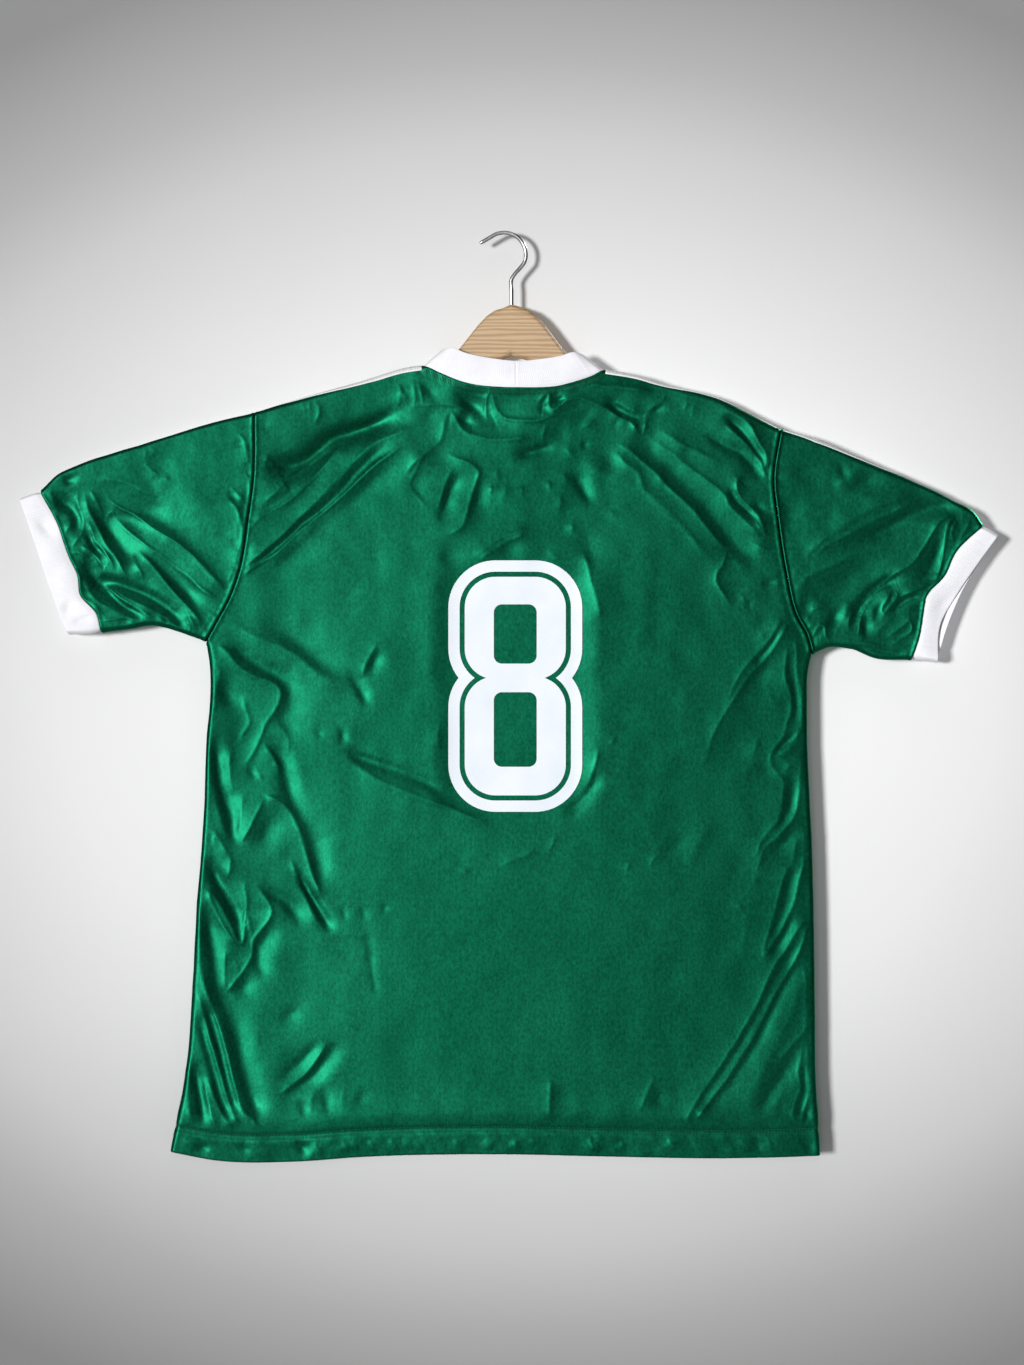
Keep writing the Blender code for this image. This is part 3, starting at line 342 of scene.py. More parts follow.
SIDE_CREASES = """
left side under the arm
12 -3.5 .25 .25 | 243,650 243,720 240,770 236,830
13 -3 .25 .25 | 247,866 244,930 240,1000 246,1070
3 2.6 .06 .1 | 216,643 226,651 235,663 246,673 262,679 274,683 281,691 280,701 274,712 266,722 261,735 255,749
  248,761 241,768
6 3 .08 .35 | 226,620 240,630 256,638 272,644 288,651 300,658 312,669 324,677 338,683 350,692
6 -3.4 .05 .2 | 222,630 232,643 245,656 258,665 272,672 284,681 291,693 289,706 284,717 288,732 293,748
5 -3 .1 .1 | 266,732 273,746 281,760 286,776 290,792 298,808 306,822 312,838 318,860 322,878 324,896
7 -3.4 .08 .3 | 252,616 272,624 288,634 302,643 314,654 326,664 338,672 352,681
2.2 2.2 | 262,741 268,749 274,758 278,767 279,777
3 1.2 | 272,718 280,727 287,737 288,748 282,758
2.6 1.6 | 241,694 245,708 249,724 243,733 240,745
2.6 1.8 | 232,746 230,760 230,775 232,790 234,798
5 -2.6 .15 .3 | 222,664 226,678 227,694 231,708 236,720
4.5 -5 .15 .1 | 216,730 216,748 218,766 221,783 225,800 230,815 233,832 235,850
2.2 2.4 .1 .1 | 262,795 272,798 282,803 290,811 295,821 300,832 304,845 309,860 313,874 318,888 321,900
2 2.4 .1 .1 | 264,797 260,808 255,817 250,827 245,837 242,843
6 -2.6 | 266,803 268,818 266,834 258,848 250,860
3 -1.8 | 247,765 252,773 257,782
2 1.2 | 252,764 258,773 263,784
2.2 1.2 | 243,790 242,806 240,824 240,843
4 1.8 | 214,800 218,812 222,826 226,840
2 2 | 208,836 213,832 218,838 224,847 230,860
1.8 1.6 .05 .1 | 212,640 213,648 215,658 217,666 220,672 219,679 216,688 215,698 214,712
2 -1 | 311,728 319,734 326,738
2.6 -1.6 | 339,724 343,738 340,750
4 -2.8 .15 .3 | 343,745 352,754 370,761 390,768 410,775 428,783 445,794 458,802
3.4 2.6 .25 .2 | 340,752 352,763 370,775 390,786 410,794 430,801 450,808 470,817 490,824 503,828
4 -2.6 | 338,668 350,676 358,686 364,698 368,714
3.4 -2.2 | 384,645 378,655 371,668 366,682
2.4 1.8 | 379,640 373,652 366,664 361,678
2.6 1.2 | 442,718 437,735 441,750
left side towards the hem
2.2 2 | 229,850 231,862 229,873 222,883
4.5 -5 .2 .1 | 211,850 212,866 217,880 225,893 232,906 238,920 241,935
2 2.6 .1 .1 | 207,886 210,897 215,910 221,922 228,933 236,943 240,945
2 2.6 .1 .2 | 207,886 213,895 220,905 227,918 233,930 238,941 241,944 244,935 244,920 246,908 246,895 245,885 248,878
  252,872
3 -4 .2 .1 | 303,866 301,878 307,890 313,901 320,912 327,925 332,936
2.6 2.2 | 290,855 296,872 302,888 308,903 314,916 320,928
4.5 -3.4 .2 .15 | 258,881 272,893 282,899 292,908 299,920 303,934
2.2 2.8 .2 .06 | 250,878 258,888 266,899 271,908 268,920 260,931 253,942 252,954 246,966 238,977 231,987 225,994
2 1.8 | 246,910 249,924 252,938
5 -3 .15 .2 | 276,914 272,926 264,939 258,950 258,962 262,974 267,988
5 -2.4 | 254,970 247,980 240,990 233,999
1.8 1.6 | 226,948 224,962 224,978 226,992
1.8 1 | 232,955 236,965 238,975
5.5 -4.4 .1 .08 | 204,898 208,918 211,940 214,962 218,985 224,1003 231,1022 237,1042 242,1062 247,1082 252,1100
  258,1114 265,1128
2.2 2.7 .1 .03 | 201,888 200,906 200,928 200,950 201,970 205,986 211,1003 217,1020 223,1038 228,1056 232,1074
  237,1092 243,1110 248,1116 252,1117 255,1122 256,1130
2.2 2.4 .08 .05 | 197,990 202,1006 207,1022 211,1040 216,1058 221,1076 227,1094 233,1112 239,1128
3 -3.5 .1 .08 | 204,1000 211,1020 217,1040 222,1060 227,1080 233,1100 238,1118
3 -2.8 .2 .1 | 199,1010 203,1030 207,1050 212,1068 217,1086 224,1106 232,1124
1.8 1.8 .1 .1 | 204,1076 206,1090 209,1104 213,1118 219,1130
2 2.2 .1 .1 | 206,1077 212,1090 218,1104 225,1118 234,1131
3.4 -4.5 .2 .1 | 192,1058 195,1075 199,1092 202,1110 204,1130
1.8 1.8 | 191,1060 189,1078 188,1096 190,1112 195,1126
4.5 -3.4 .15 .25 | 343,1036 336,1045 328,1056 320,1067 311,1077 300,1085 288,1093 278,1099
2.4 2.8 .2 .2 | 328,1042 321,1052 315,1063 308,1072 299,1080 289,1087 279,1095
4 -2.2 | 325,1037 314,1047 304,1058 294,1068 283,1078 272,1088
4 -1.6 | 303,1003 293,1012 282,1020 275,1024
3 -1.4 | 297,1095 303,1108 306,1124
3.4 -1.8 | 322,1082 326,1100 328,1120
4 -1.4 | 366,1082 361,1098 354,1114
4 1.2 | 315,1082 312,1100 310,1118
4 1 | 345,1085 342,1100 345,1120
2 -1.2 | 341,904 346,921
2 -1 | 360,904 366,922
2 -.8 | 384,900 386,916
2.6 -.8 | 365,925 370,950 372,975 378,1000
round the figure
2.6 2 | 586,790 590,780 594,768 597,757 599,746
3.4 -2.2 | 560,817 568,812 578,803 588,792 596,778 601,766
2 1.4 | 616,734 609,748
2 1 | 557,830 552,845 547,856
2.4 1.2 | 498,868 508,862 520,858 530,853 537,846
3 1 | 458,868 472,874
right side under the arm
2.4 2.4 .1 .3 | 784,614 778,625 771,638 763,647 754,657 745,667 738,678 732,690 727,701 722,712
2.8 3.2 .1 .3 | 787,617 785,629 778,640 771,650 763,660 755,669 747,679 740,689 733,700 727,710 721,720 715,730
  710,742 707,755 700,768 696,776
2.2 -3 | 780,628 774,639 767,648 759,657 750,666
5 -3 .15 .4 | 776,650 769,661 761,671 753,681 746,691 739,702
2.2 2.4 .1 .1 | 789,638 786,660 786,680 791,694 791,710 786,725 783,737 777,746 771,755 771,765 777,773 783,781
  783,795 781,810 777,822 770,830 763,838 759,846 757,856 758,868
2 2.4 .1 .1 | 794,636 797,652 797,668 799,684 801,698 801,714 801,728 796,737 790,743 784,750 778,757 775,762
3 -2.4 | 790,650 791,668 794,684 796,700 796,716 792,730
2.6 -4 .15 .15 | 798,731 790,738 784,744 777,751 773,757
2 1.8 | 798,742 791,748 784,755 778,763
2 1.8 | 797,745 801,754 795,760 788,768 782,775
2.2 3 .08 .15 | 800,750 801,765 800,780 798,797 796,810 791,820 784,829 777,838 769,844 763,852 760,862 756,875
3.5 -4 .2 .15 | 795,770 792,788 790,802 786,815 780,825 773,834
3.5 -3.5 .15 .2 | 796,821 790,833 784,842 776,849 768,856
2 2.2 | 801,826 804,838 804,852 803,868 800,880
3 1.8 | 800,832 796,842 794,855 792,868
3 1.6 | 760,732 756,746 749,762
4 -2 | 757,758 765,770 775,782
3 1.2 | 740,760 745,770 746,785
6 -1.2 | 755,790 770,800 775,812
3 1.6 | 758,630 765,642
9 1.4 | 740,600 742,615 742,632
4 1.6 | 766,682 770,696 778,706 786,714
5 1.6 | 714,815 704,835 694,852 684,866
4 -1.6 | 690,830 676,845 662,860
2.4 1.4 | 661,849 654,858 649,869
2 1 | 631,860 625,872
right side towards the hem
2.4 2.4 .1 .1 | 793,860 786,872 781,886 778,900 774,914 770,928 765,942 763,954 762,964
2.2 2.8 .15 .1 | 804,862 800,876 797,890 793,905 787,918 781,931 773,942 767,951 763,962
3.5 -3.6 .1 .15 | 797,862 792,876 788,890 785,904 780,917 775,930 769,941
2.4 3.4 .06 .04 | 808,917 801,925 794,936 786,949 778,960 771,972 765,986 759,1000 753,1013 745,1026 737,1040
  729,1053 720,1067 711,1080 702,1093 694,1105 688,1115 688,1122 694,1126
2.2 3.8 .06 .04 | 808,919 806,933 801,948 795,961 787,974 779,988 772,1001 766,1014 760,1027 752,1041 743,1055
  734,1069 725,1082 716,1093 707,1105 700,1114 696,1122
3.4 -3 .1 .1 | 800,938 792,952 784,965 776,978 769,991 762,1005 755,1018 747,1032 739,1046 730,1060 721,1073 711,1086
  702,1100 696,1112
3 -3.4 | 797,910 790,924 783,937 775,949 768,960
4 -4 .04 .06 | 807,960 798,964 791,973 784,985 777,999 770,1013 764,1026 757,1040 748,1055 738,1070 728,1085 718,1097
  709,1109 702,1119
7 3 .1 .15 | 803,976 799,992 793,1008 786,1024 777,1042 768,1060 758,1080 749,1100 742,1118
2.2 2.8 .08 .2 | 804,968 807,982 807,1000 807,1018 804,1032 797,1039 789,1048 781,1058 772,1068
4.5 -3.4 .08 .15 | 806,1040 797,1052 790,1062 783,1073 776,1084 768,1096 760,1108 752,1120
1.8 2.2 | 803,1042 800,1058 798,1074 801,1088 796,1102 793,1114 798,1128
1.8 2.2 .1 .1 | 807,1042 808,1058 808,1074 810,1089 807,1103 803,1117 801,1128
2.4 -2.6 | 804,1060 804,1078 805,1092 801,1108 799,1122
2 -2.4 | 810,1100 807,1115 805,1126
4 1.4 | 788,1074 781,1092 775,1108 771,1124
1.8 1.4 | 731,898 738,906 744,914
3 1.2 | 747,908 746,925 743,945 740,960
2.4 1 | 757,862 757,876 755,888
2.6 2 .2 .1 | 551,1076 550,1095 549,1110 550,1124
5 -.8 | 560,1078 560,1095 559,1112
2.8 1.8 .2 .2 | 656,1073 650,1085 645,1097 638,1112
4 -1.6 | 666,1083 658,1098 649,1114
hem
3 1.8 | 180,1138 190,1144 200,1151
3 -2.4 | 193,1141 202,1147 211,1153
3 -1.8 | 236,1142 242,1148 252,1151
3.4 -3.4 | 294,1140 302,1147 312,1156
2.6 1.8 | 312,1141 318,1149 323,1156
2.4 1.6 | 341,1138 345,1145 349,1153
2 1.4 | 352,1138 355,1144 359,1151
2.2 1.8 | 369,1138 373,1145 377,1152
2.2 2.2 | 389,1138 394,1144 399,1151
2.2 1.6 | 401,1138 407,1144 413,1151
2.4 1.6 | 412,1139 418,1145 425,1151
2.4 1.6 | 454,1137 459,1144 465,1151
2.2 2.2 | 485,1137 488,1143 493,1149
2.6 2.4 | 513,1137 516,1144 521,1151
2.2 1.4 | 530,1137 533,1142 536,1147
2 2.2 | 589,1136 592,1143 595,1151
1.8 2 | 594,1138 597,1145 599,1152
2 1.8 | 619,1139 622,1145 625,1151
2.4 2.6 | 667,1136 671,1144 677,1152
3 2.4 | 739,1137 744,1144 751,1153
3 -2.4 | 748,1137 755,1144 763,1151
1.8 2.2 | 766,1136 769,1143 774,1152
1.8 2.2 | 770,1137 777,1144 785,1152
3 -3 | 796,1138 807,1144 819,1150
"""
SLEEVE_CREASES = """
left sleeve
24 -10 .2 .2 | 106,456 114,520 136,580
4 -5 | 54,486 60,500 70,508 76,516 77,525 75,532 71,539
4 -4 | 66,474 70,488
3 -4 | 86,522 87,532 90,540 95,548 101,555 106,562
5 -3.5 | 93,500 97,512 104,524 112,534 120,545 127,556 132,566 138,576
5 -1.5 | 112,508 125,518 140,530 150,538
8 -3 | 115,490 140,505 160,520 175,528 190,540 205,552 215,565 222,577
6 -5 | 140,548 160,565 175,580 190,595 200,608 208,618
5 -6 .1 .1 | 72,552 80,556 86,561 90,570 95,578 105,582 118,585 130,589 142,594 155,601 165,608 175,616 183,625
  190,633
4 -5 | 90,572 95,582 102,590 112,598 123,606 135,612 148,618
2.5 -2 | 116,622 125,621 133,620
6 -2.2 .1 .3 | 125,460 138,470 147,478 155,487 163,491
5 -1.6 .1 .3 | 147,450 152,458 160,466 167,474 172,480
3 -2 | 228,490 233,497 240,502
6 -1 | 217,490 220,505
5 -1.5 | 236,438 240,450
5 -1.4 | 237,535 230,550
2 -2 | 160,615 170,624
2.4 2.4 .2 .1 | 80,491 77,499 79,509 83,520 82,530 77,539 71,549
2.6 3.2 .2 .1 | 83,490 86,500 89,512 94,521 99,530 103,539 108,547 114,553 118,560 121,567 125,574 131,580
2.2 2.2 | 88,490 93,495 97,503 100,511 103,518
2.2 2.8 .2 .1 | 86,520 90,526 92,534 94,541 101,548 107,555 112,563 114,572
4 2 | 91,484 100,480 112,479 125,482 138,488 150,494 160,499
2.8 3.6 .2 .06 | 103,487 105,494 112,502 122,509 135,515 146,523 158,531 170,538 182,546 193,556 203,566 212,576
  221,585 226,592
3 3 .2 .08 | 111,513 118,521 127,530 137,538 147,546 157,553 167,560 178,569 190,578 201,588 211,595 220,601
2 1.6 | 106,520 108,514 112,512 115,517
2.4 2.2 | 133,552 134,560 138,568 142,575 144,582
2.6 3.2 .2 .08 | 134,547 140,553 148,561 157,571 164,580 171,588 179,597 187,605 194,612 199,619 203,627
2 2.4 | 79,545 87,549 94,555 99,562 104,570
1.8 1.8 | 70,554 78,552 85,556 90,561
1.8 1.2 | 80,560 83,560 84,564 80,568 77,564
2.2 2.8 .15 .1 | 103,583 110,590 118,597 128,603 138,609 146,614 153,620 156,623
2.6 2 | 107,585 117,591 128,597 140,603 150,608 155,612
3 2 | 83,580 88,590 95,599 105,606 115,612 122,617
2 1.4 | 86,600 95,606 102,614 108,618
1.8 1.6 | 100,620 110,620 120,618 130,618 141,620
1.8 2 | 155,612 163,615 170,621 177,627 183,632
1.6 1.6 | 154,615 160,619 167,624 173,627
1.6 1.8 | 186,614 188,621 191,627 190,632
1.6 1.6 | 189,615 193,621 195,628 197,635
1.4 1.2 | 200,633 203,630 206,633 205,639
3 1 | 168,604 175,609 180,612
1.8 1 | 144,460 147,450 149,447
2 1.4 | 143,462 150,469 156,474 159,480
1.8 1 | 148,446 153,450 158,454
2 1 | 165,482 167,478 169,475
2.4 2.2 .2 .1 | 226,490 229,498 234,504 238,510 240,518 242,528 241,540 238,552 236,562 232,574 228,585
2 2 | 231,486 236,492 241,497 247,499
2 1.8 | 238,432 244,440 247,448 248,456 249,464 252,470
2 1.8 | 244,470 248,478 250,487 250,495 253,500
1.8 2 | 71,519 69,525 66,531 65,536
2 1.4 | 52,484 50,492 52,500 56,510 59,518
2 1.2 | 208,612 214,616 219,617
14 2 | 165,480 190,495 212,515 222,540
right sleeve
5 2.4 .2 .1 | 833,487 846,480 856,473 864,466
4 -2 | 840,494 855,487 870,480 888,478
4 -1.4 | 836,475 850,468
6 3 .15 .25 | 804,563 811,551 820,542 832,533 846,523 860,514 875,506 890,501 905,497 922,494
2.6 2 .15 .2 | 812,559 822,549 835,541 850,533 865,525 880,518 895,511 910,504 922,498
5 -4 .1 .5 | 966,508 950,506 932,507 917,512 905,518 894,525 882,531 866,538 846,547 826,558
6 2.6 .15 .3 | 795,598 800,587 808,578 820,571 835,564 850,556 865,548 881,540
8 -2.6 | 806,602 828,591 850,577 870,565 892,554
2.4 3.2 .1 .08 | 958,517 950,516 944,518 938,523 934,530 930,537 925,545 920,553 915,560 908,566 900,571 892,577
  884,583 875,590 867,598 859,605 853,612 849,620 847,632
4 -6 .12 .15 | 906,576 895,578 885,583 877,589 870,596 863,603 857,611 853,620 850,633
2.2 3 .1 .1 | 894,589 888,588 882,591 875,596 868,603 863,610 860,620 859,630 857,637
1.8 2 .1 .1 | 895,591 898,596 895,601 890,607 886,612 883,613 882,609 885,603 889,596 892,590
2.2 3 .08 .1 | 958,518 952,520 948,525 946,535 944,550 942,562 939,573 935,581 927,585 917,590 906,595 899,598
5 -2.6 | 942,525 940,540 937,555 930,570 918,581 908,588
1.8 2 | 958,519 955,525 952,531 952,537 955,543
1.8 1.6 | 970,518 968,526 964,533 960,539 956,545
2 -3 | 924,595 916,596 908,599 901,603 896,608 891,614
1.8 2 | 884,640 895,632 904,625 909,621 912,625 911,632 905,637 897,642 887,646
3 1.4 | 876,634 886,622 897,614
2 2.4 .1 .1 | 826,638 832,643 842,643 852,642 862,643 872,645 880,647 890,650 903,652
1.8 -2.6 | 846,646 860,647 872,649 884,651 896,653 908,655
3 -4.5 | 868,642 866,632 866,622 870,610
2.6 -2.6 | 884,598 880,606 877,614 875,624
2.2 1.8 | 804,629 806,620 810,613 816,608 824,605 833,603
1.8 1.8 | 806,634 808,628 812,625 817,622
2 2.8 .1 .1 | 813,638 815,632 818,627 822,624 825,626 825,632 827,638 832,643
1.6 1.4 | 812,642 816,640 819,641 817,645 813,648
4 -4 | 846,602 838,612 833,622 829,635
4 2 | 850,601 846,610 841,620 836,630 834,638
4 -2.5 | 806,622 804,612 806,604 813,597
9 -1.8 | 785,475 785,500 789,528 796,552
cuffs
5 -5 .1 .1 | 30,508 44,526 60,545
4 -4 .1 .1 | 62,600 74,616
1.6 -4 .05 .05 | 70,623 95,616
5 -6 .1 .1 | 961,590 943,606 928,618
1.6 -4 .05 .05 | 911,653 925,659 940,662
"""


def drawn(text):
    """The creases of a table. A line without a bar names the ones that follow. An indented line carries on a route."""
    found = []
    for line in text.strip().replace("\n  ", " ").splitlines():
        if "|" not in line:
            continue
        sizes, route = (part.split() for part in line.split("|"))
        corners = [[float(v) for v in spot.split(",")] for spot in route]
        points = [(GRID * (x - GRID_CORNER[0]), GRID * (GRID_CORNER[1] - y)) for x, y in corners]
        ends = sizes[2:] or (0.2, 0.2)
        found.append(Crease(points, *(float(v) for v in (*sizes[:2], *ends))))
    return found


FRONT_CREASES = [
    # chest, from the neckline out to the armholes
    Crease([(-60, -214), (-105, -236), (-160, -268), (-215, -300), (-252, -318)], 8, 3.4, 0.3, 0.08),
    Crease([(-70, -196), (-120, -212), (-172, -236), (-240, -262)], 8, -3.0, 0.3, 0.1),
    Crease([(-90, -262), (-140, -292), (-200, -330), (-256, -350)], 9, -3.0, 0.3, 0.1),
    Crease([(-98, -170), (-140, -186), (-196, -196)], 6, 2.2),
    Crease([(78, -210), (124, -240), (170, -272), (222, -300), (266, -318)], 8, 3.6, 0.3, 0.08),
    Crease([(92, -190), (138, -214), (190, -246), (262, -280)], 9, -3.2, 0.3, 0.1),
    Crease([(118, -172), (160, -190), (214, -204)], 6, 2.2),
    Crease([(100, -262), (150, -300), (210, -336), (268, -356)], 10, -2.8, 0.3, 0.1),
    Crease([(-30, -236), (0, -262), (14, -300)], 12, -2.4),
    Crease([(40, -232), (30, -268), (40, -310)], 9, 1.8),
    # underarms
    Crease([(-272, -372), (-230, -392), (-186, -424), (-152, -470)], 8, 3.2, 0.06, 0.35),
    Crease([(-280, -396), (-242, -420), (-204, -460), (-190, -500)], 8, -3.2, 0.1, 0.3),
    Crease([(286, -380), (244, -402), (200, -440), (176, -486)], 8, 3.4, 0.06, 0.35),
    Crease([(292, -404), (256, -430), (222, -474), (210, -520)], 8, -3.2, 0.1, 0.3),
    # down the sides and across the belly
    Crease([(-290, -560), (-256, -600), (-240, -650), (-246, -700)], 7, 2.8),
    Crease([(-296, -640), (-262, -700), (-240, -770), (-232, -868)], 7, 3.8, 0.15, 0.12),
    Crease([(-300, -690), (-272, -756), (-254, -820), (-250, -874)], 6, 3.0, 0.2, 0.12),
    Crease([(-282, -680), (-256, -740), (-242, -800), (-240, -860)], 6, -3.4),
    Crease([(296, -600), (262, -640), (244, -700), (248, -740)], 7, 2.8),
    Crease([(300, -650), (264, -720), (236, -790), (218, -868)], 7, 4.0, 0.15, 0.12),
    Crease([(302, -700), (276, -770), (256, -830), (248, -874)], 6, 3.0, 0.2, 0.12),
    Crease([(288, -676), (256, -742), (234, -804), (222, -856)], 6, -3.4),
    Crease([(-180, -560), (-150, -640), (-132, -740)], 12, 1.8),
    Crease([(160, -540), (134, -640), (126, -720)], 12, 1.8),
    Crease([(-60, -640), (-40, -720), (-46, -800)], 14, -1.6),
    Crease([(60, -420), (86, -480), (78, -560)], 14, 1.6),
    Crease([(-120, -826), (-126, -868)], 5, 2.0),
    Crease([(-20, -830), (-16, -868)], 5, 1.8),
    Crease([(96, -824), (104, -866)], 5, 2.0),
    Crease([(172, -834), (164, -868)], 5, 1.6),
    # sleeves
    Crease([(-402, -256), (-366, -284), (-326, -320), (-282, -352)], 7, 3.6, 0.25, 0.1),
    Crease([(-410, -290), (-376, -320), (-338, -350), (-300, -374)], 6, 3.2, 0.2, 0.12),
    Crease([(-390, -280), (-352, -312), (-312, -346)], 6, -3.0),
    Crease([(-412, -330), (-384, -352), (-352, -372)], 5, 2.8),
    Crease([(-402, -322), (-372, -342), (-334, -364)], 5, -3.0),
    Crease([(432, -284), (390, -312), (344, -346), (306, -378)], 7, 3.6, 0.25, 0.1),
    Crease([(424, -318), (392, -344), (358, -370), (330, -396)], 6, 3.2, 0.2, 0.12),
    Crease([(418, -304), (380, -334), (336, -372)], 6, -3.0),
    Crease([(408, -366), (384, -384), (356, -404)], 4.5, 2.6),
]

HEM_ROWS = (22.5 * MM, 27 * MM)  # the two lines of stitching, above the lower edge

# Small puckers in the hem's band: a slanting ridge every so often along it
HEM_PUCKERS = {
    "back": [],
    "front": [-304, -280, -256, -240, -214, -180, -166, -130, -108, -84, -50, -30, -8]
    + [28, 50, 78, 104, 122, 150, 182, 200, 226, 244, 268, 288],
}

# ---------------------------------------------------------------- curves


def table_points(table, side=None):
    """A table's points in metres as rows of x and z. side picks the left or the right columns of a Pair."""
    if side is None:
        return np.array([(row.x, row.z) for row in table], float) * MM
    names = (side + "_x", side + "_z")
    return np.array([[getattr(row, n) for n in names] for row in table], float) * MM


def along(points, shares):
    """Points at shares (0 to 1) of the length of a smooth curve through points."""
    steps = np.linalg.norm(np.diff(points, axis=0), axis=1)
    at = np.concatenate([[0], np.cumsum(steps)])
    at /= at[-1]
    slopes = np.gradient(points, at, axis=0)
    shares = np.clip(np.asarray(shares, float), 0, 1)
    cell = np.clip(np.searchsorted(at, shares, side="right") - 1, 0, len(at) - 2)
    span = at[cell + 1] - at[cell]
    t = ((shares - at[cell]) / span)[..., None]
    span = span[..., None]
    return (
        (2 * t**3 - 3 * t**2 + 1) * points[cell]
        + (t**3 - 2 * t**2 + t) * span * slopes[cell]
        + (3 * t**2 - 2 * t**3) * points[cell + 1]
        + (t**3 - t**2) * span * slopes[cell + 1]
    )


def smooth_step(low, high, value):
    t = np.clip((value - low) / (high - low), 0, 1)
    return t * t * (3 - 2 * t)


def left_of(curve):
    """Unit vectors to the left of an XZ curve as it runs."""
    run = np.gradient(curve, axis=0)
    return np.stack([-run[:, 1], run[:, 0]], -1) / np.linalg.norm(run, axis=-1, keepdims=True)


def moved_across(curve, distance):
    return curve + distance * left_of(curve)


def length_of(curve):
    return np.linalg.norm(np.diff(curve, axis=0), axis=1).sum()


def patch(bottom, top, left, right, across, up):
    """A grid of XZ points between four boundary curves, at shares across and up."""
    u = np.asarray(across)[None, :, None]
    v = np.asarray(up)[:, None, None]
    corners = (1 - u) * (1 - v) * bottom[0] + u * (1 - v) * bottom[-1] + (1 - u) * v * top[0] + u * v * top[-1]
    return (1 - v) * bottom[None] + v * top[None] + (1 - u) * left[:, None] + u * right[:, None] - corners


def front_curve(ends, drop):
    """The front of the neck: half an ellipse hung between its two ends."""
    left, right = ends
    s = -np.cos(np.linspace(0, math.pi, 61))
    line = left + (right - left) * ((s + 1) / 2)[:, None]
    return line - np.stack([np.zeros_like(s), drop * np.sqrt(np.clip(1 - s * s, 0, 1))], -1)


def neck_base(side):
    base = table_points(NECKLINE)
    return base if side == "back" else front_curve((base[0], base[-1]), FRONT_DROP)


def neck_top(side):
    top = table_points(COLLAR_TOP)
    return top if side == "back" else front_curve((top[0], top[-1]), FRONT_TOP_DROP)


PANEL_CELL = {"back": 1.3 * MM, "front": 2.2 * MM}
PANEL_BEND = {"back": (0.3, 0.11), "front": (0.5, 0.2)}
EDGE_STEPS = np.array([0, 0.35, 0.9, 1.6, 2.4, 3.4, 4.6, 6.0, 7.8, 9.8]) * MM


def spread(length, cell, start=True, end=True):
    """Shares of a length, cell apart in the middle and closer at the ends that ask for it."""
    low = EDGE_STEPS if start else np.zeros(1)
    high = EDGE_STEPS if end else np.zeros(1)
    middle = np.linspace(low[-1], length - high[-1], max(2, round((length - low[-1] - high[-1]) / cell)) + 1)[1:-1]
    return np.concatenate([low, middle, length - high[::-1]]) / length


# ---------------------------------------------------------------- the cloth's surface

SHARES = np.linspace(0, 1, 161)
# The folded edges, each with the side of it that is outside: 1 is left and -1 is right as the curve runs
EDGES = []
for side_name, turn in (("left", 1), ("right", -1)):
    EDGES.append(
        (
            np.concatenate(
                [
                    along(table_points(SIDE_SEAM, side_name), SHARES),
                    along(table_points(SLEEVE_BOTTOM, side_name), SHARES)[1:],
                    table_points(CUFF_EDGE, side_name)[-1:],
                ]
            ),
            turn,
        )
    )
    EDGES.append(
        (
            np.concatenate(
                [
                    along(table_points(SHOULDER, side_name), SHARES)[::-1],
                    along(table_points(SLEEVE_TOP, side_name), SHARES)[1:],
                    table_points(CUFF_EDGE, side_name)[:1],
                ]
            ),
            -turn,
        )
    )
ARMHOLES = [along(table_points(ARMHOLE, s), SHARES) for s in ("left", "right")]
CUFF_SEAMS = [along(table_points(CUFF_SEAM, s), SHARES) for s in ("left", "right")]
NECKLINES = {s: along(neck_base(s), SHARES) for s in ("back", "front")}
HEM_LINE = along(table_points(HEM), SHARES)


def nearest(curve, spots):
    """For rows of XZ points, the nearest place on an XZ curve: distance, share of its length, side (1 is left of it),
    the unit vector left of the curve there, and the vector from the curve to the point."""
    start, run = curve[:-1], np.diff(curve, axis=0)
    size = np.maximum(np.linalg.norm(run, axis=1), 1e-9)
    at = np.concatenate([[0], np.cumsum(size)])
    found = []
    for first in range(0, len(spots), 4096):
        part = spots[first : first + 4096, None]
        t = np.clip(((part - start) * run).sum(-1) / size**2, 0, 1)
        gap = part - (start + t[..., None] * run)
        away = (gap**2).sum(-1)
        pick = away.argmin(-1)
        row = np.arange(len(pick))
        left = np.stack([-run[pick, 1], run[pick, 0]], -1) / size[pick, None]
        aside = (gap[row, pick] * left).sum(-1)
        share = (at[pick] + t[row, pick] * size[pick]) / at[-1]
        found.append((np.sqrt(away[row, pick]), share, np.sign(aside), left, gap[row, pick]))
    return [np.concatenate(column) for column in zip(*found)]


def distance_to(curves, spots, reach):
    """Distance from each point to the nearest of some curves, or reach where it is farther."""
    best = np.full(len(spots), reach)
    for curve in curves:
        low, high = curve.min(0) - reach, curve.max(0) + reach
        near = ((spots > low) & (spots < high)).all(1)
        if near.any():
            best[near] = np.minimum(best[near], nearest(curve, spots[near])[0])
    return best


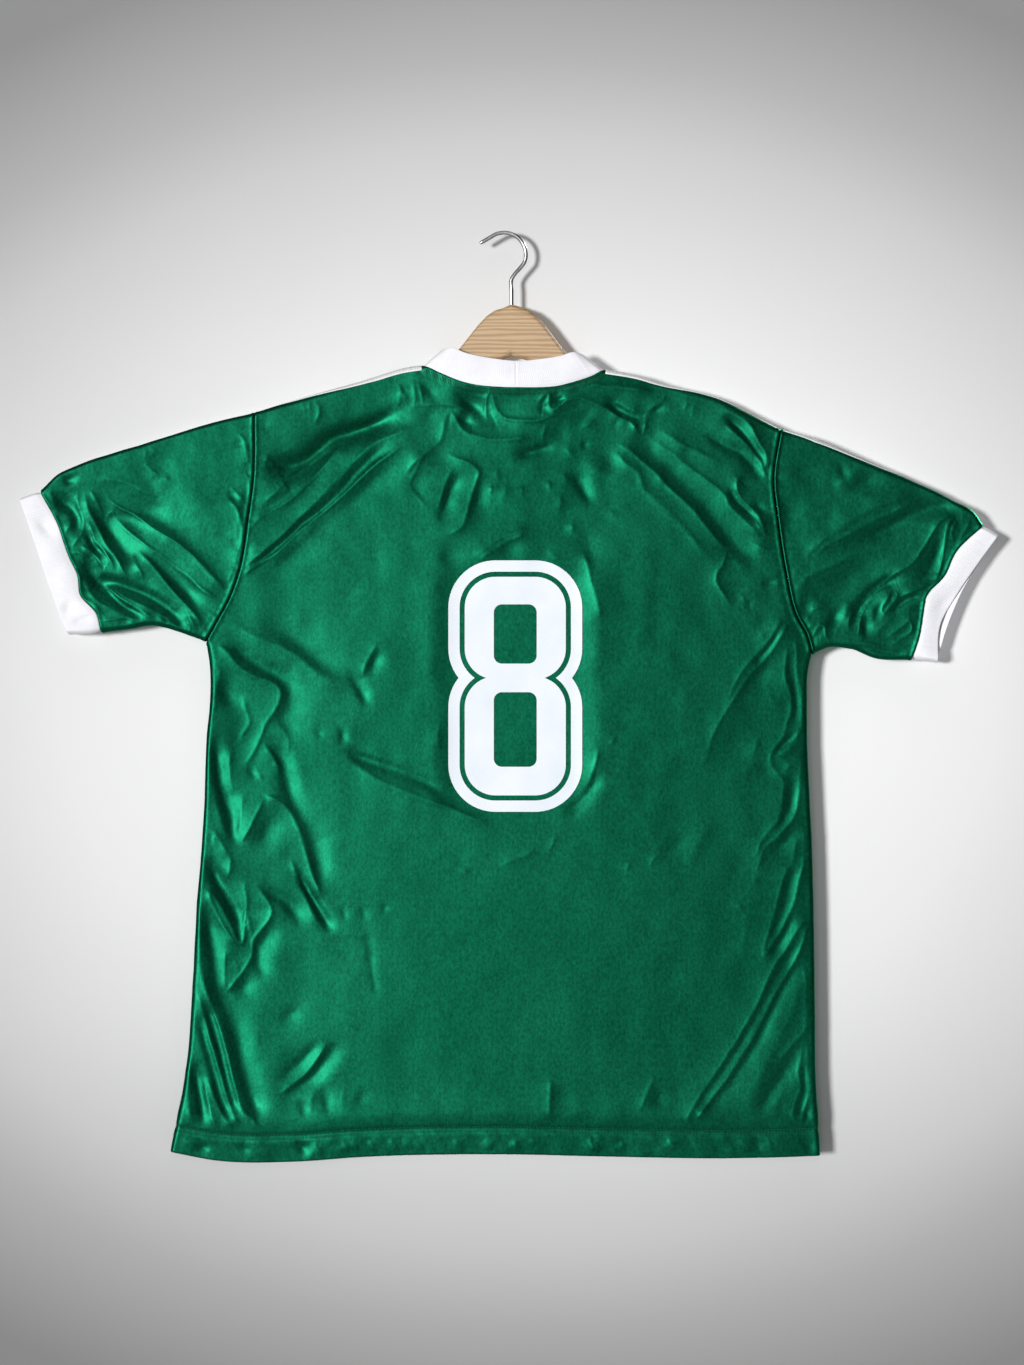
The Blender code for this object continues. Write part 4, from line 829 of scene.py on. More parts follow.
def edge_distance(spots):
    """Distance to the nearest folded edge, the unit vector out to it, and how tightly that edge is folded."""
    reach = 60 * MM
    best, out, tightness = np.full(len(spots), reach), np.zeros((len(spots), 2)), np.ones(len(spots))
    for number, (curve, turn) in enumerate(EDGES):
        low, high = curve.min(0) - reach, curve.max(0) + reach
        near = np.flatnonzero(((spots > low) & (spots < high)).all(1))
        if not len(near):
            continue
        away, _, _, left, gap = nearest(curve, spots[near])
        closer = away < best[near]
        near, away, left, gap = near[closer], away[closer], left[closer], gap[closer]
        best[near] = away
        tightness[near] = TOP_TIGHTNESS if number % 2 else SIDE_TIGHTNESS
        tight = (away < 0.6 * MM)[:, None]
        out[near] = np.where(tight, turn * left, -gap / np.maximum(away, 1e-9)[:, None])
    return best, out, tightness


def ripple(spots, size, seed):
    """Smooth seeded noise, about -1 to 1, with features about size apart."""
    angles = np.random.RandomState(seed).uniform(0, 2 * math.pi, (64, 64))
    table = np.stack([np.cos(angles), np.sin(angles)], -1)
    scaled = spots / size
    cell = np.floor(scaled).astype(int)
    f = scaled - cell
    fade = f**3 * (f * (6 * f - 15) + 10)
    value = 0
    for i in (0, 1):
        for j in (0, 1):
            corner = table[(cell[:, 0] + i) % 64, (cell[:, 1] + j) % 64]
            dot = (corner * (f - (i, j))).sum(-1)
            weight = (fade[:, 0] if i else 1 - fade[:, 0]) * (fade[:, 1] if j else 1 - fade[:, 1])
            value = value + weight * dot
    return 1.5 * value


def family(creases, seed):
    """The creases, each long one with a shorter and shallower companion beside it."""
    draw = np.random.RandomState(seed)
    found = []
    for crease in creases:
        found.append(crease)
        points = np.array(crease.route, float)
        side, place, size = draw.choice([-1, 1]), draw.uniform(0, 0.35), draw.uniform(0.22, 0.42)
        if length_of(points) < 42:
            continue
        beside = along(points, np.linspace(place, place + 0.6, 6))
        beside = moved_across(beside, side * draw.uniform(1.8, 2.8) * crease.width)
        found.append(Crease([tuple(row) for row in beside], 0.75 * crease.width, size * crease.height, 0.4, 0.4))
    return found


def crease_height(creases, spots):
    """Height of the creases at each point. Ridges have a narrow crest on broad flanks, and troughs rise gently on the
    right."""
    wander = np.stack([ripple(spots, 46 * MM, 3), ripple(spots, 46 * MM, 4)], -1) * 0.8 * MM
    wander += np.stack([ripple(spots, 15 * MM, 5), ripple(spots, 15 * MM, 6)], -1) * 0.4 * MM
    spots = spots + wander
    total = np.zeros(len(spots))
    for number, crease in enumerate(creases):
        points = np.array(crease.route, float) * MM
        length = length_of(points)
        route = along(points, np.linspace(0, 1, max(6, int(length / (4 * MM)))))
        width = crease.width * MM
        low, high = route.min(0) - CREASE_REACH * width, route.max(0) + CREASE_REACH * width
        near = ((spots > low) & (spots < high)).all(1)
        if not near.any():
            continue
        away, share, _, _, gap = nearest(route, spots[near])
        narrow, ends = [
            smooth_step(0, max(crease.start, fade), share) * smooth_step(0, max(crease.end, fade), 1 - share)
            for fade in (min(0.5, widths * width / length) for widths in (2, 6))
        ]
        slim = 0.45 + 0.55 * min(1, length / (12 * width))
        uneven = 1 + 0.14 * np.sin(share * (5 + number % 4) + number * 1.7)
        q = away / (width * (0.92 + 0.12 * np.sin(share * 6 + number)))
        right = smooth_step(-0.2, 0.35, (0.9 * gap[:, 0] - 0.44 * gap[:, 1]) / np.maximum(away, 1e-9))
        if crease.height > 0:
            flank = (np.sqrt(q * q + 0.25) - 0.5) / (3.0 - 0.4 * right)
            profile = RIDGE_STRENGTH * (0.76 * ends * slim * np.exp(-flank) + 0.24 * narrow * np.exp(-((q / 0.7) ** 2)))
        else:
            flank = q / (1.3 + 0.7 * right)
            profile = TROUGH_STRENGTH * ends * slim * (0.8 * np.exp(-flank * flank) + 0.2 * np.exp(-((q / 3) ** 2)))
        total[near] += crease.height * MM * uneven * profile * smooth_step(CREASE_REACH, 5, q)
    return total


CREASES = {
    "back": drawn(SHOULDER_CREASES) + drawn(SIDE_CREASES) + drawn(SLEEVE_CREASES),
    "front": family(FRONT_CREASES, 9),
}
RIDGE_STRENGTH, TROUGH_STRENGTH = 0.60, 0.74
CREASE_REACH = 9  # widths of a crease to which it is felt
CROWN_HEIGHT, CROWN_CENTRE, CROWN_HALF_WIDTH = 5 * MM, 45 * MM, 255 * MM  # the back swells between its sides
SEED = {"back": 20, "front": 40}


def hem_height(spots, side):
    """The band below the hem's stitching leans in, the stitching pulls the cloth in, and the cloth swells above it."""
    low, high = HEM_LINE[:, 1].min(), HEM_LINE[:, 1].max() + 90 * MM
    total = np.zeros(len(spots))
    near = (spots[:, 1] < high) & (spots[:, 1] > low - 5 * MM)
    if not near.any():
        return total
    part = spots[near]
    up = part[:, 1] - np.interp(part[:, 0], HEM_LINE[:, 0], HEM_LINE[:, 1])
    lean = 1.7 - 0.8 * smooth_step(0.06, 0.18, part[:, 0])
    height = -lean * np.clip(1 - up / (20 * MM), 0, 1) * smooth_step(30 * MM, 22 * MM, up)
    height -= 1.1 * np.exp(-(((up - 25 * MM) / (3.2 * MM)) ** 2))
    swell = 0.5 + 0.5 * smooth_step(-0.21, -0.12, part[:, 0]) * smooth_step(0.24, 0.17, part[:, 0])
    height += 1.9 * swell * np.exp(-(((up - 41 * MM) / (11 * MM)) ** 2))
    band = smooth_step(-1 * MM, 4 * MM, up) * smooth_step(26 * MM, 20 * MM, up)
    slanted = np.stack([part[:, 0] + 0.5 * up, 0.15 * up], -1)
    height += 0.3 * band * ripple(slanted, 13 * MM, 33) + 0.12 * band * ripple(slanted, 6 * MM, 34)
    for number, x in enumerate(HEM_PUCKERS[side]):
        slant = 0.55 + 0.3 * math.sin(number * 2.3)
        wide = (3.2 + 1.4 * math.sin(number * 1.9)) * MM
        shift = part[:, 0] - x * MM + slant * (up - 12 * MM)
        height += (0.75 + 0.35 * math.sin(number * 3.1)) * band * np.exp(-((shift / wide) ** 2))
    total[near] = height * MM
    return total


def loose_height(spots, side):
    """Creases and soft unevenness of one side, without the seams. The lower middle hangs smoothest, and the creases at
    the lower right are softer."""
    seed = SEED[side]
    height = crease_height(CREASES[side], spots)
    height *= 1 - 0.42 * smooth_step(90 * MM, 220 * MM, spots[:, 0]) * smooth_step(-330 * MM, -420 * MM, spots[:, 1])
    if side == "back":
        crown = np.maximum(1 - ((spots[:, 0] - CROWN_CENTRE) / CROWN_HALF_WIDTH) ** 2, 0)
        height += CROWN_HEIGHT * crown * smooth_step(-200 * MM, -360 * MM, spots[:, 1])
    smooth = np.exp(-(((spots[:, 0] - 30 * MM) / (190 * MM)) ** 2) - ((spots[:, 1] + 700 * MM) / (190 * MM)) ** 2)
    soft = (0.9 * ripple(spots, 85 * MM, seed) + 0.55 * ripple(spots * (1.3, 1), 34 * MM, seed + 1)) * MM
    soft += (0.14 * ripple(spots, 13 * MM, seed + 2) + 0.03 * ripple(spots, 6 * MM, seed + 3)) * MM
    return height + (1 - 0.65 * smooth) * soft + hem_height(spots, side)


def figure_calm(spots):
    """How much the print holds the cloth flat: 0.45 under the figure and 1 away from it."""
    centre = np.array([FIGURE_WAIST[0], FIGURE_WAIST[1] - 8 * MM])
    box = np.abs(spots - centre) - np.array([54 * MM, 102 * MM])
    away = np.linalg.norm(np.maximum(box, 0), axis=1)
    return 0.45 + 0.55 * smooth_step(0, 30 * MM, away)


def relief(spots, side, away):
    """Height of the cloth above the smooth form."""
    height = loose_height(spots, "back") * figure_calm(spots)
    if side == "front":
        # Near a folded edge the front follows the back, since they are one fold there.
        mix = smooth_step(0, 26 * MM, away)
        height = mix * loose_height(spots, "front") + (1 - mix) * height
    height *= 0.6 + 0.4 * smooth_step(0, 12 * MM, away)
    armhole = distance_to(ARMHOLES, spots, 30 * MM)
    cuff = distance_to(CUFF_SEAMS, spots, 30 * MM)
    neck = distance_to([NECKLINES[side]], spots, 30 * MM)
    height *= 0.5 + 0.5 * smooth_step(0, 10 * MM, armhole)
    height *= 0.55 + 0.45 * smooth_step(0, 6 * MM, cuff)
    height *= 0.5 + 0.5 * smooth_step(2 * MM, 10 * MM, neck)
    return height


def seam_height(spots, side, kind):
    """The turned edge of a piece at its seams: a soft lip, and the dive into the seam."""
    height = np.zeros(len(spots))
    armhole = distance_to(ARMHOLES, spots, 30 * MM)
    right = spots[:, 0] > 0
    cord = (kind == "sleeve") & right
    lip = np.where(cord, 1.2, 0.5)
    at = np.where(cord, 1.8, 2.2) * MM
    wide = np.where(cord, 1.3, 1.7) * MM
    height += lip * MM * np.exp(-(((armhole - at) / wide) ** 2)) - 1.3 * MM * np.exp(-((armhole / (0.6 * MM)) ** 2))
    # The seam draws the cloth into small uneven gathers.
    gather = ripple(spots * (0.35, 1.0), 7 * MM, 61) + 0.6 * ripple(spots, 4.5 * MM, 62)
    height += 0.3 * MM * gather * np.exp(-((armhole - 4 * MM) / (5 * MM)) ** 2)
    if kind == "sleeve":
        cuff = distance_to(CUFF_SEAMS, spots, 30 * MM)
        height += np.where(right, 0.8, 0.4) * MM * np.exp(-(((cuff - 2.2 * MM) / (1.8 * MM)) ** 2))
        height -= 1.8 * MM * np.exp(-((cuff / (0.9 * MM)) ** 2))
        height += 0.55 * MM * ripple(spots * (0.4, 1.0), 6.5 * MM, 63) * np.exp(-((cuff - 4 * MM) / (6 * MM)) ** 2)
    else:
        neck = distance_to([NECKLINES[side]], spots, 30 * MM)
        height += 0.5 * MM * np.exp(-(((neck - 2.0 * MM) / (1.6 * MM)) ** 2))
        height -= 1.4 * MM * np.exp(-((neck / (0.8 * MM)) ** 2))
        height -= 0.35 * MM * np.exp(-(((neck - 8.5 * MM) / (1.4 * MM)) ** 2))
        height += 0.22 * MM * ripple(spots * (1.0, 0.4), 4.2 * MM, 64) * np.exp(-(((neck - 5 * MM) / (4 * MM)) ** 2))
    return height


def full_depth(spots):
    """Depth of the jersey's flats. It opens towards the neck and lies flatter towards the right cuff."""
    from_neck = np.hypot(spots[:, 0] - NECK_CENTRE[0], spots[:, 1] - NECK_CENTRE[1])
    depth = BODY_DEPTH + (NECK_DEPTH - BODY_DEPTH) * (1 - smooth_step(0, NECK_REACH, from_neck))
    return depth * (1 - 0.2 * smooth_step(240 * MM, 440 * MM, spots[:, 0]))


def form(spots, side, closed=None):
    """Points and outward unit vectors of the smooth surface, and each point's distance from the folded edges."""
    away, out, tightness = edge_distance(spots)
    if closed is not None:
        away = np.where(closed, 0, away)
    depth = full_depth(spots)
    turn = np.arccos(1 - np.minimum(tightness * away / EDGE_ROUND, 1))
    facing = -1.0 if side == "back" else 1.0
    points = np.stack([spots[:, 0], facing * depth * np.sin(turn), spots[:, 1]], -1)
    flat, deep = tightness * np.cos(turn) / EDGE_ROUND, np.sin(turn) / depth
    normals = np.stack([flat * out[:, 0], facing * deep, flat * out[:, 1]], -1)
    return points, normals / np.linalg.norm(normals, axis=1, keepdims=True), away


def cloth_points(grid, side, kind, closed=None, lift=0.0):
    """The cloth over a grid of XZ points, and its outward unit vectors before the relief."""
    spots = grid.reshape(-1, 2)
    points, normals, away = form(spots, side, None if closed is None else closed.ravel())
    height = relief(spots, side, away) + lift
    if kind in ("body", "sleeve"):
        height += seam_height(spots, side, kind)
        # The two halves of a folded seam tuck in a little where they meet.
        height -= 0.5 * MM * np.exp(-((away / (0.5 * MM)) ** 2))
    points = points + height[:, None] * normals
    return points.reshape(*grid.shape[:2], 3), normals.reshape(*grid.shape[:2], 3)


# ---------------------------------------------------------------- meshes


def link(name, mesh, finish):
    made = bpy.data.objects.new(name, mesh)
    made.data.materials.append(finish)
    bpy.context.scene.collection.objects.link(made)
    return made


def grid_object(name, grid, finish, flip=False, ring=False, tube=False):
    """A mesh over a grid of points. ring joins its last column to the first, and tube its last row to the first."""
    rows, columns = grid.shape[:2]
    index = np.arange(rows * columns).reshape(rows, columns)
    if ring:
        index = np.concatenate([index, index[:, :1]], axis=1)
    if tube:
        index = np.concatenate([index, index[:1]], axis=0)
    quads = np.stack([index[:-1, :-1], index[:-1, 1:], index[1:, 1:], index[1:, :-1]], -1).reshape(-1, 4)
    if flip:
        quads = quads[:, ::-1]
    mesh = bpy.data.meshes.new(name)
    mesh.from_pydata(grid.reshape(-1, 3).tolist(), [], quads.tolist())
    mesh.shade_smooth()
    return link(name, mesh, finish)


def keep(piece, slot, *nodes):
    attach(piece, "root")
    if nodes:
        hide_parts(*nodes)
    return piece


def split_cells(rows, columns, halve, quarter):
    """Cells four steps wide over a grid, split in two where halve asks and again where quarter asks. Gives the points
    in use, and each cell as a ring of them."""
    cells = []
    for r in range(0, rows - 1, 4):
        for c in range(0, columns - 1, 4):
            if not halve[r // 4, c // 4]:
                cells.append((r, c, 4))
                continue
            for i in (r, r + 2):
                for j in (c, c + 2):
                    if quarter[i // 2, j // 2]:
                        cells += [(i, j, 1), (i, j + 1, 1), (i + 1, j, 1), (i + 1, j + 1, 1)]
                    else:
                        cells.append((i, j, 2))
    used = np.zeros((rows, columns), bool)
    for r, c, size in cells:
        used[r : r + size + 1 : size, c : c + size + 1 : size] = True
    rings = []
    for r, c, size in cells:
        ring = [(r, c + k) for k in range(size)] + [(r + k, c + size) for k in range(size)]
        ring += [(r + size, c + size - k) for k in range(size)] + [(r + size - k, c) for k in range(size)]
        rings.append([spot for spot in ring if used[spot]])
    return used, rings


def bends(height):
    """How much a grid of heights bends at each cell."""
    bend = np.zeros_like(height)
    bend[1:-1] = np.abs(height[2:] + height[:-2] - 2 * height[1:-1])
    bend[:, 1:-1] = np.maximum(bend[:, 1:-1], np.abs(height[:, 2:] + height[:, :-2] - 2 * height[:, 1:-1]))
    return np.maximum.reduce([bend[:-1, :-1], bend[1:, :-1], bend[:-1, 1:], bend[1:, 1:]])


def whole(length, cell):
    """Steps of about one cell in a length, a multiple of four."""
    return 4 * round(length / cell / 4)


def body_panel(side, finish):
    """The back or the front: one sheet from the turned-up hem to the shoulders, finest where it is creased."""
    cell = PANEL_CELL[side]
    shoulders = {}
    for s in ("left", "right"):
        curve = table_points(SHOULDER, s)
        shares = spread(length_of(curve), cell, end=False)
        extra = -(len(shares) - 1) % 4
        shares = np.concatenate([shares[:10], np.linspace(shares[9], 1, len(shares) - 9 + extra)[1:]])
        shoulders[s] = along(curve, shares)
    neck = neck_base(side)
    neck = along(neck, np.linspace(0, 1, whole(length_of(neck), cell) + 1))
    top = np.concatenate([shoulders["left"], neck[1:-1], shoulders["right"][::-1]])
    across = (top[:, 0] - top[0, 0]) / (top[-1, 0] - top[0, 0])
    bottom = along(table_points(HEM), across)
    side_steps = whole(length_of(table_points(SIDE_SEAM, "left")), 1.1 * cell)
    hole_steps = whole(length_of(table_points(ARMHOLE, "left")), cell) - 8
    seam_shares = np.linspace(0, 1, side_steps + 1)
    hole_length = length_of(table_points(ARMHOLE, "left"))
    near = EDGE_STEPS[::-1] / hole_length
    hole_steps += -(hole_steps + len(near) - 2) % 4
    hole_shares = np.concatenate([np.linspace(0, 1 - near[0], hole_steps), 1 - near[1:]])
    edges = []
    for s in ("left", "right"):
        seam, hole = along(table_points(SIDE_SEAM, s), seam_shares), along(table_points(ARMHOLE, s), hole_shares)
        edges.append(np.concatenate([seam, hole[1:]]))
    rise = edges[0][:, 1]
    up = (rise - rise[0]) / (rise[-1] - rise[0])
    grid = patch(bottom, top, *edges, across, up)
    rows, columns = grid.shape[:2]

    closed = np.zeros(grid.shape[:2], bool)
    closed[: len(seam_shares), [0, -1]] = True
    closed[-1, : len(shoulders["left"])] = True
    closed[-1, -len(shoulders["right"]) :] = True

    sparse = grid[::2, ::2].reshape(-1, 2)
    height = relief(sparse, side, edge_distance(sparse)[0]).reshape(grid[::2, ::2].shape[:2])
    bend = bends(height)
    quarter = bend > PANEL_BEND[side][0] * MM
    quarter[:6] = quarter[-4:] = True
    quarter[:, :4] = quarter[:, -4:] = True
    halve = (bend > PANEL_BEND[side][1] * MM) | quarter
    halve = halve[::2, ::2] | halve[1::2, ::2] | halve[::2, 1::2] | halve[1::2, 1::2]
    used, rings = split_cells(rows, columns, halve, quarter)
    index = np.cumsum(used).reshape(used.shape) - 1
    points, normals = (part[0] for part in cloth_points(grid[used][None], side, "body", closed[used][None]))
    faces = [[int(index[spot]) for spot in ring] for ring in rings]

    # The hem: the cloth turns inwards round its lower edge and runs up behind the stitching.
    turned = [
        points[index[row]] - inside * MM * normals[index[row]]
        for row, inside in ((10, 1.6), (7, 1.3), (4, 1.2), (2, 1.2), (1, 1.0))
    ]
    fold = points[index[0]] - 0.6 * MM * normals[index[0]]
    fold[:, 2] -= 0.5 * MM
    strips = np.arange(6 * columns).reshape(6, columns) + len(points)
    strips = np.concatenate([strips, index[:1]])
    for low, high in zip(strips[:-1], strips[1:]):
        faces += np.stack([low[:-1], low[1:], high[1:], high[:-1]], -1).tolist()
    points = np.concatenate([points, *turned, fold])
    # Both sheets stay on their own side of the middle plane.
    facing = -1 if side == "back" else 1
    points[:, 1] = facing * np.maximum(facing * points[:, 1], 0.05 * MM)
    if side == "front":
        faces = [ring[::-1] for ring in faces]
    mesh = bpy.data.meshes.new(side + "_cloth")
    mesh.from_pydata(points.tolist(), [], faces)
    mesh.shade_smooth()
    return keep(link(side + "_cloth", mesh, finish), "green_cloth", side)


def ring_of(back, front):
    """One ring of columns from a back grid and a front grid that share their first and last columns."""
    return np.concatenate([back, front[:, -2:0:-1]], axis=1)


def sleeve(side, finish):
    outwards = -GAP if side == "left" else GAP
    start = table_points(ARMHOLE, side)[::-1]
    shares = spread(0.5 * (length_of(start) + length_of(table_points(CUFF_SEAM, side))), 1.25 * MM)
    start = moved_across(along(start, shares), outwards)
    end = along(table_points(CUFF_SEAM, side), shares)
    steps = spread(length_of(table_points(SLEEVE_TOP, side)), 1.25 * MM)
    upper = along(table_points(SLEEVE_TOP, side), steps)
    lower = along(table_points(SLEEVE_BOTTOM, side), steps)
    upper[0], lower[0] = start[0], start[-1]
    grid = patch(start, end, upper, lower, shares, steps)
    closed = np.zeros(grid.shape[:2], bool)
    closed[:, [0, -1]] = True
    back, front = (cloth_points(grid, s, "sleeve", closed)[0] for s in ("back", "front"))
    piece = grid_object(side + "_sleeve_cloth", ring_of(back, front), finish, flip=side == "left", ring=True)
    return keep(piece, "green_cloth", side + "_sleeve")


def grid_normals(grid, ring, flip):
    """Outward unit vectors of a grid, from its own points."""
    if ring:
        wide = np.concatenate([grid[:, -1:], grid, grid[:, :1]], axis=1)
        run = wide[:, 2:] - wide[:, :-2]
    else:
        run = np.gradient(grid, axis=1)
    normals = np.cross(run, np.gradient(grid, axis=0))
    normals /= np.maximum(np.linalg.norm(normals, axis=-1, keepdims=True), 1e-9)
    return -normals if flip else normals


def doubled_band(name, grid, thickness, finish, flip):
    """A closed ring of cloth with thickness: down its outside, round its free edge and back up its inside."""
    normals = grid_normals(grid, True, flip)
    half = thickness / 2
    tip = grid[-1] - grid[-2]
    tip /= np.linalg.norm(tip, axis=-1, keepdims=True)
    centre = grid[-1] - half * normals[-1]
    angles = np.radians([25, 55, 90, 125, 155])
    rim = [centre + half * (math.cos(a) * normals[-1] + 0.8 * math.sin(a) * tip) for a in angles]
    inner = grid - thickness * normals
    rows = np.concatenate([grid, np.array(rim), inner[::-1]])
    return grid_object(name, rows, finish, flip=flip, ring=True, tube=True)


def ribbed(count, amount, per_rib=4):
    """Height of vertical ribs at columns round a band."""
    column = np.arange(count)
    return amount * (np.abs(np.cos(math.pi * column / per_rib)) - 0.5)


def cuff(side, finish):
    """Ribbed band at the end of a sleeve."""
    outwards = -GAP if side == "left" else GAP
    seam = table_points(CUFF_SEAM, side)
    length = length_of(seam)
    near = EDGE_ROUND * (1 - np.cos(np.radians(np.arange(0, 91, 9)))) / length
    middle = np.linspace(near[-1], 1 - near[-1], round((length - 2 * EDGE_ROUND) / (0.62 * MM)))[1:-1]
    shares = np.concatenate([near, middle, 1 - near[::-1]])
    foot = moved_across(along(seam, shares), -4 * outwards)
    rings = []
    for s, edge in (("back", CUFF_EDGE), ("front", CUFF_EDGE_FRONT)):
        far = along(table_points(edge, side), shares)
        steps = np.linspace(0, 1, 15)[:, None, None]
        grid = (1 - steps) * foot + steps * far
        closed = np.zeros(grid.shape[:2], bool)
        closed[:, [0, -1]] = True
        points, normals = cloth_points(grid, s, "cuff", closed, lift=-0.2 * MM)
        # It starts under the sleeve's edge and swells out of the seam.
        rise = np.linspace(0, 1, 15)[:, None]
        swell = -1.1 * MM * np.exp(-((rise / 0.14) ** 2)) + 0.6 * MM * np.sin(math.pi * rise) ** 2
        fade = smooth_step(0.06, 0.2, rise) * smooth_step(1.0, 0.9, rise)
        points += (swell + fade * ribbed(len(shares), 0.32 * MM))[..., None] * normals
        if side == "right":
            # Its front lies up against its back towards the middle of the free edge.
            inner = smooth_step(0, 0.18, shares) * smooth_step(1, 0.86, shares)
            points[..., 1] *= 1 - (0.3 if s == "back" else 1.25) * rise * inner
        rings.append(points)
    piece = doubled_band(side + "_cuff_rib", ring_of(*rings), RIB, finish, side == "left")
    return keep(piece, "white_rib", side + "_cuff")


def collar(finish):
    """Ribbed band round the neck, with a seam at centre back."""
    rings = []
    for side, facing in (("back", -1), ("front", 1)):
        base, top = neck_base(side), neck_top(side)
        length = length_of(base)
        near = EDGE_ROUND * (1 - np.cos(np.radians(np.arange(0, 91, 7)))) / length
        middle = np.linspace(near[-1], 1 - near[-1], round((length - 2 * EDGE_ROUND) / (0.5 * MM)))[1:-1]
        shares = np.concatenate([near, middle, 1 - near[::-1]])
        base, top = along(base, shares), along(top, shares)
        low = np.abs(form(base, side)[0][:, 1])
        base = moved_across(base, COLLAR_GAP)
        low[[0, -1]] = 0
        at = np.concatenate([[0], np.cumsum(np.linalg.norm(np.diff(top, axis=0), axis=1))])
        away = np.minimum(at, at[-1] - at)
        high = COLLAR_TOP_DEPTH * np.sqrt(1 - (1 - np.minimum(away / EDGE_ROUND, 1)) ** 2)
        rows = []
        for t in np.concatenate([[-0.14, -0.07], np.linspace(0, 1, 17)]):
            flat = (1 - t) * base + t * top
            bow = 0.9 * MM * math.sin(math.pi * max(t, 0)) - 1.5 * MM * math.exp(-(((t + 0.1) / 0.09) ** 2))
            depth = (1 - t) * low + t * high
            depth = depth + bow * np.minimum(depth / (8 * MM), 1)
            rows.append(np.stack([flat[:, 0], facing * depth, flat[:, 1]], -1))
        rings.append(np.array(rows))
    back, front = rings
    grid = ring_of(back, front)
    count = grid.shape[1]
    # As the ring runs, back from left to right and front from right to left, the outside is the cross product's side.
    normals = grid_normals(grid, True, False)
    rise = np.linspace(0, 1, len(grid))[:, None]
    around = np.arange(count) * 0.5 * MM
    spots = [np.stack([around, np.full(count, share * 20 * MM)], -1) for share in rise[:, 0]]
    wave = 0.35 * MM * np.array([ripple(row, 26 * MM, 71) for row in spots])
    from_seam, behind = grid[..., 0] - COLLAR_SEAM_X, grid[..., 1] < 0
    seam = -0.45 * MM * np.exp(-((from_seam / (0.6 * MM)) ** 2)) * behind
    beside = 0.1 * MM * np.exp(-(((np.abs(from_seam) - 2.2 * MM) / (1.2 * MM)) ** 2)) * behind
    fade = smooth_step(0.1, 0.25, rise) * smooth_step(1.0, 0.93, rise)
    grid = grid + (fade * ribbed(count, 0.2 * MM) + wave + fade * (seam + beside))[..., None] * normals
    piece = doubled_band("collar_rib", grid, RIB, finish, False)
    return keep(piece, "white_rib", "collar")


def ridge_line(side):
    """The fold along the top of shoulder and sleeve, from the neck to the cuff seam."""
    shoulder = along(table_points(SHOULDER, side), np.linspace(1, 0, 161))
    top = along(table_points(SLEEVE_TOP, side), np.linspace(0, 1, 201))
    return np.concatenate([shoulder, top[1:]])


def stripe_points(side, at, behind_share, lift):
    """Points of the tape at distances along the ridge and at shares of its width, lifted off the cloth."""
    line = ridge_line(side)
    run = np.concatenate([[0], np.cumsum(np.linalg.norm(np.diff(line, axis=0), axis=1))])
    total = run[-1]
    spot = np.stack([np.interp(at, run, line[:, 0]), np.interp(at, run, line[:, 1])], -1)
    smooth = np.stack([np.interp(at + s, run, line[:, k]) for s in (-6 * MM, 6 * MM) for k in (0, 1)], -1)
    way = smooth[:, 2:] - smooth[:, :2]
    down = np.stack([way[:, 1], -way[:, 0]], -1) * (1 if side == "right" else -1)
    down /= np.linalg.norm(down, axis=-1, keepdims=True)
    shares = [row.share for row in STRIPE_REACH]
    behind = np.interp(at / total, shares, [getattr(row, side) for row in STRIPE_REACH])
    angle = np.radians(behind - behind_share * STRIPE_SPAN)
    away = EDGE_ROUND * (1 - np.cos(angle))
    flat = spot + away[:, None] * down
    depth = full_depth(flat)
    angle = np.sign(angle) * np.arccos(1 - np.minimum(TOP_TIGHTNESS * away / EDGE_ROUND, 1))
    up, back = TOP_TIGHTNESS * np.cos(angle) / EDGE_ROUND, np.sin(angle) / depth
    size = np.hypot(up, back)
    normal = np.stack([-(up / size) * down[:, 0], -back / size, -(up / size) * down[:, 1]], -1)
    height = np.where(angle > 0, relief(flat, "back", away), relief(flat, "front", away)) + lift
    point = np.stack([flat[:, 0], -depth * np.sin(angle), flat[:, 1]], -1)
    return point + height[:, None] * normal


def stripe(side, finish):
    """A tape sewn along the ridge, a little of it on the back and the rest on the front."""
    total = length_of(ridge_line(side))
    at = np.linspace(STRIPE_END, total - STRIPE_END, 230)
    layers = []
    for lift in (0.75 * MM, 0.1 * MM):
        layers.append(np.array([stripe_points(side, at, share, lift) for share in np.linspace(0, 1, 21)]))
    outer, inner = layers
    rows = np.concatenate([outer, inner[::-1]])
    piece = grid_object(side + "_stripe_tape", rows, finish, flip=side == "left", tube=True)
    bm = bmesh.new()
    bm.from_mesh(piece.data)
    bmesh.ops.holes_fill(bm, edges=[e for e in bm.edges if e.is_boundary], sides=0)
    bm.to_mesh(piece.data)
    bm.free()
    return keep(piece, "white_tape", side + "_stripe")


# ---------------------------------------------------------------- figure


def arc(centre, radius, start, end):
    """Points on an arc in degrees, anticlockwise."""
    return [
        (centre[0] + radius * math.cos(a), centre[1] + radius * math.sin(a))
        for a in np.radians(np.linspace(start, end, max(3, int(abs(end - start) / 5))))
    ]


def eight_outline(grow):
    """Outline of two rounded loops that meet in a notched waist at z = 0, grown outwards by a distance."""
    radius = LOOP_RADIUS + grow
    meet = math.degrees(math.asin(LOOP_START / radius))
    across = FIGURE_HALF_WIDTH - LOOP_RADIUS
    right = (
        arc((across, -LOWER_LOOP), radius, -90, 0)
        + arc((across, -LOOP_START), radius, 0, meet)
        + arc((across, LOOP_START), radius, -meet, 0)[1:]
        + arc((across, UPPER_LOOP), radius, 0, 90)
    )
    return right + [(-x, z) for x, z in reversed(right)]


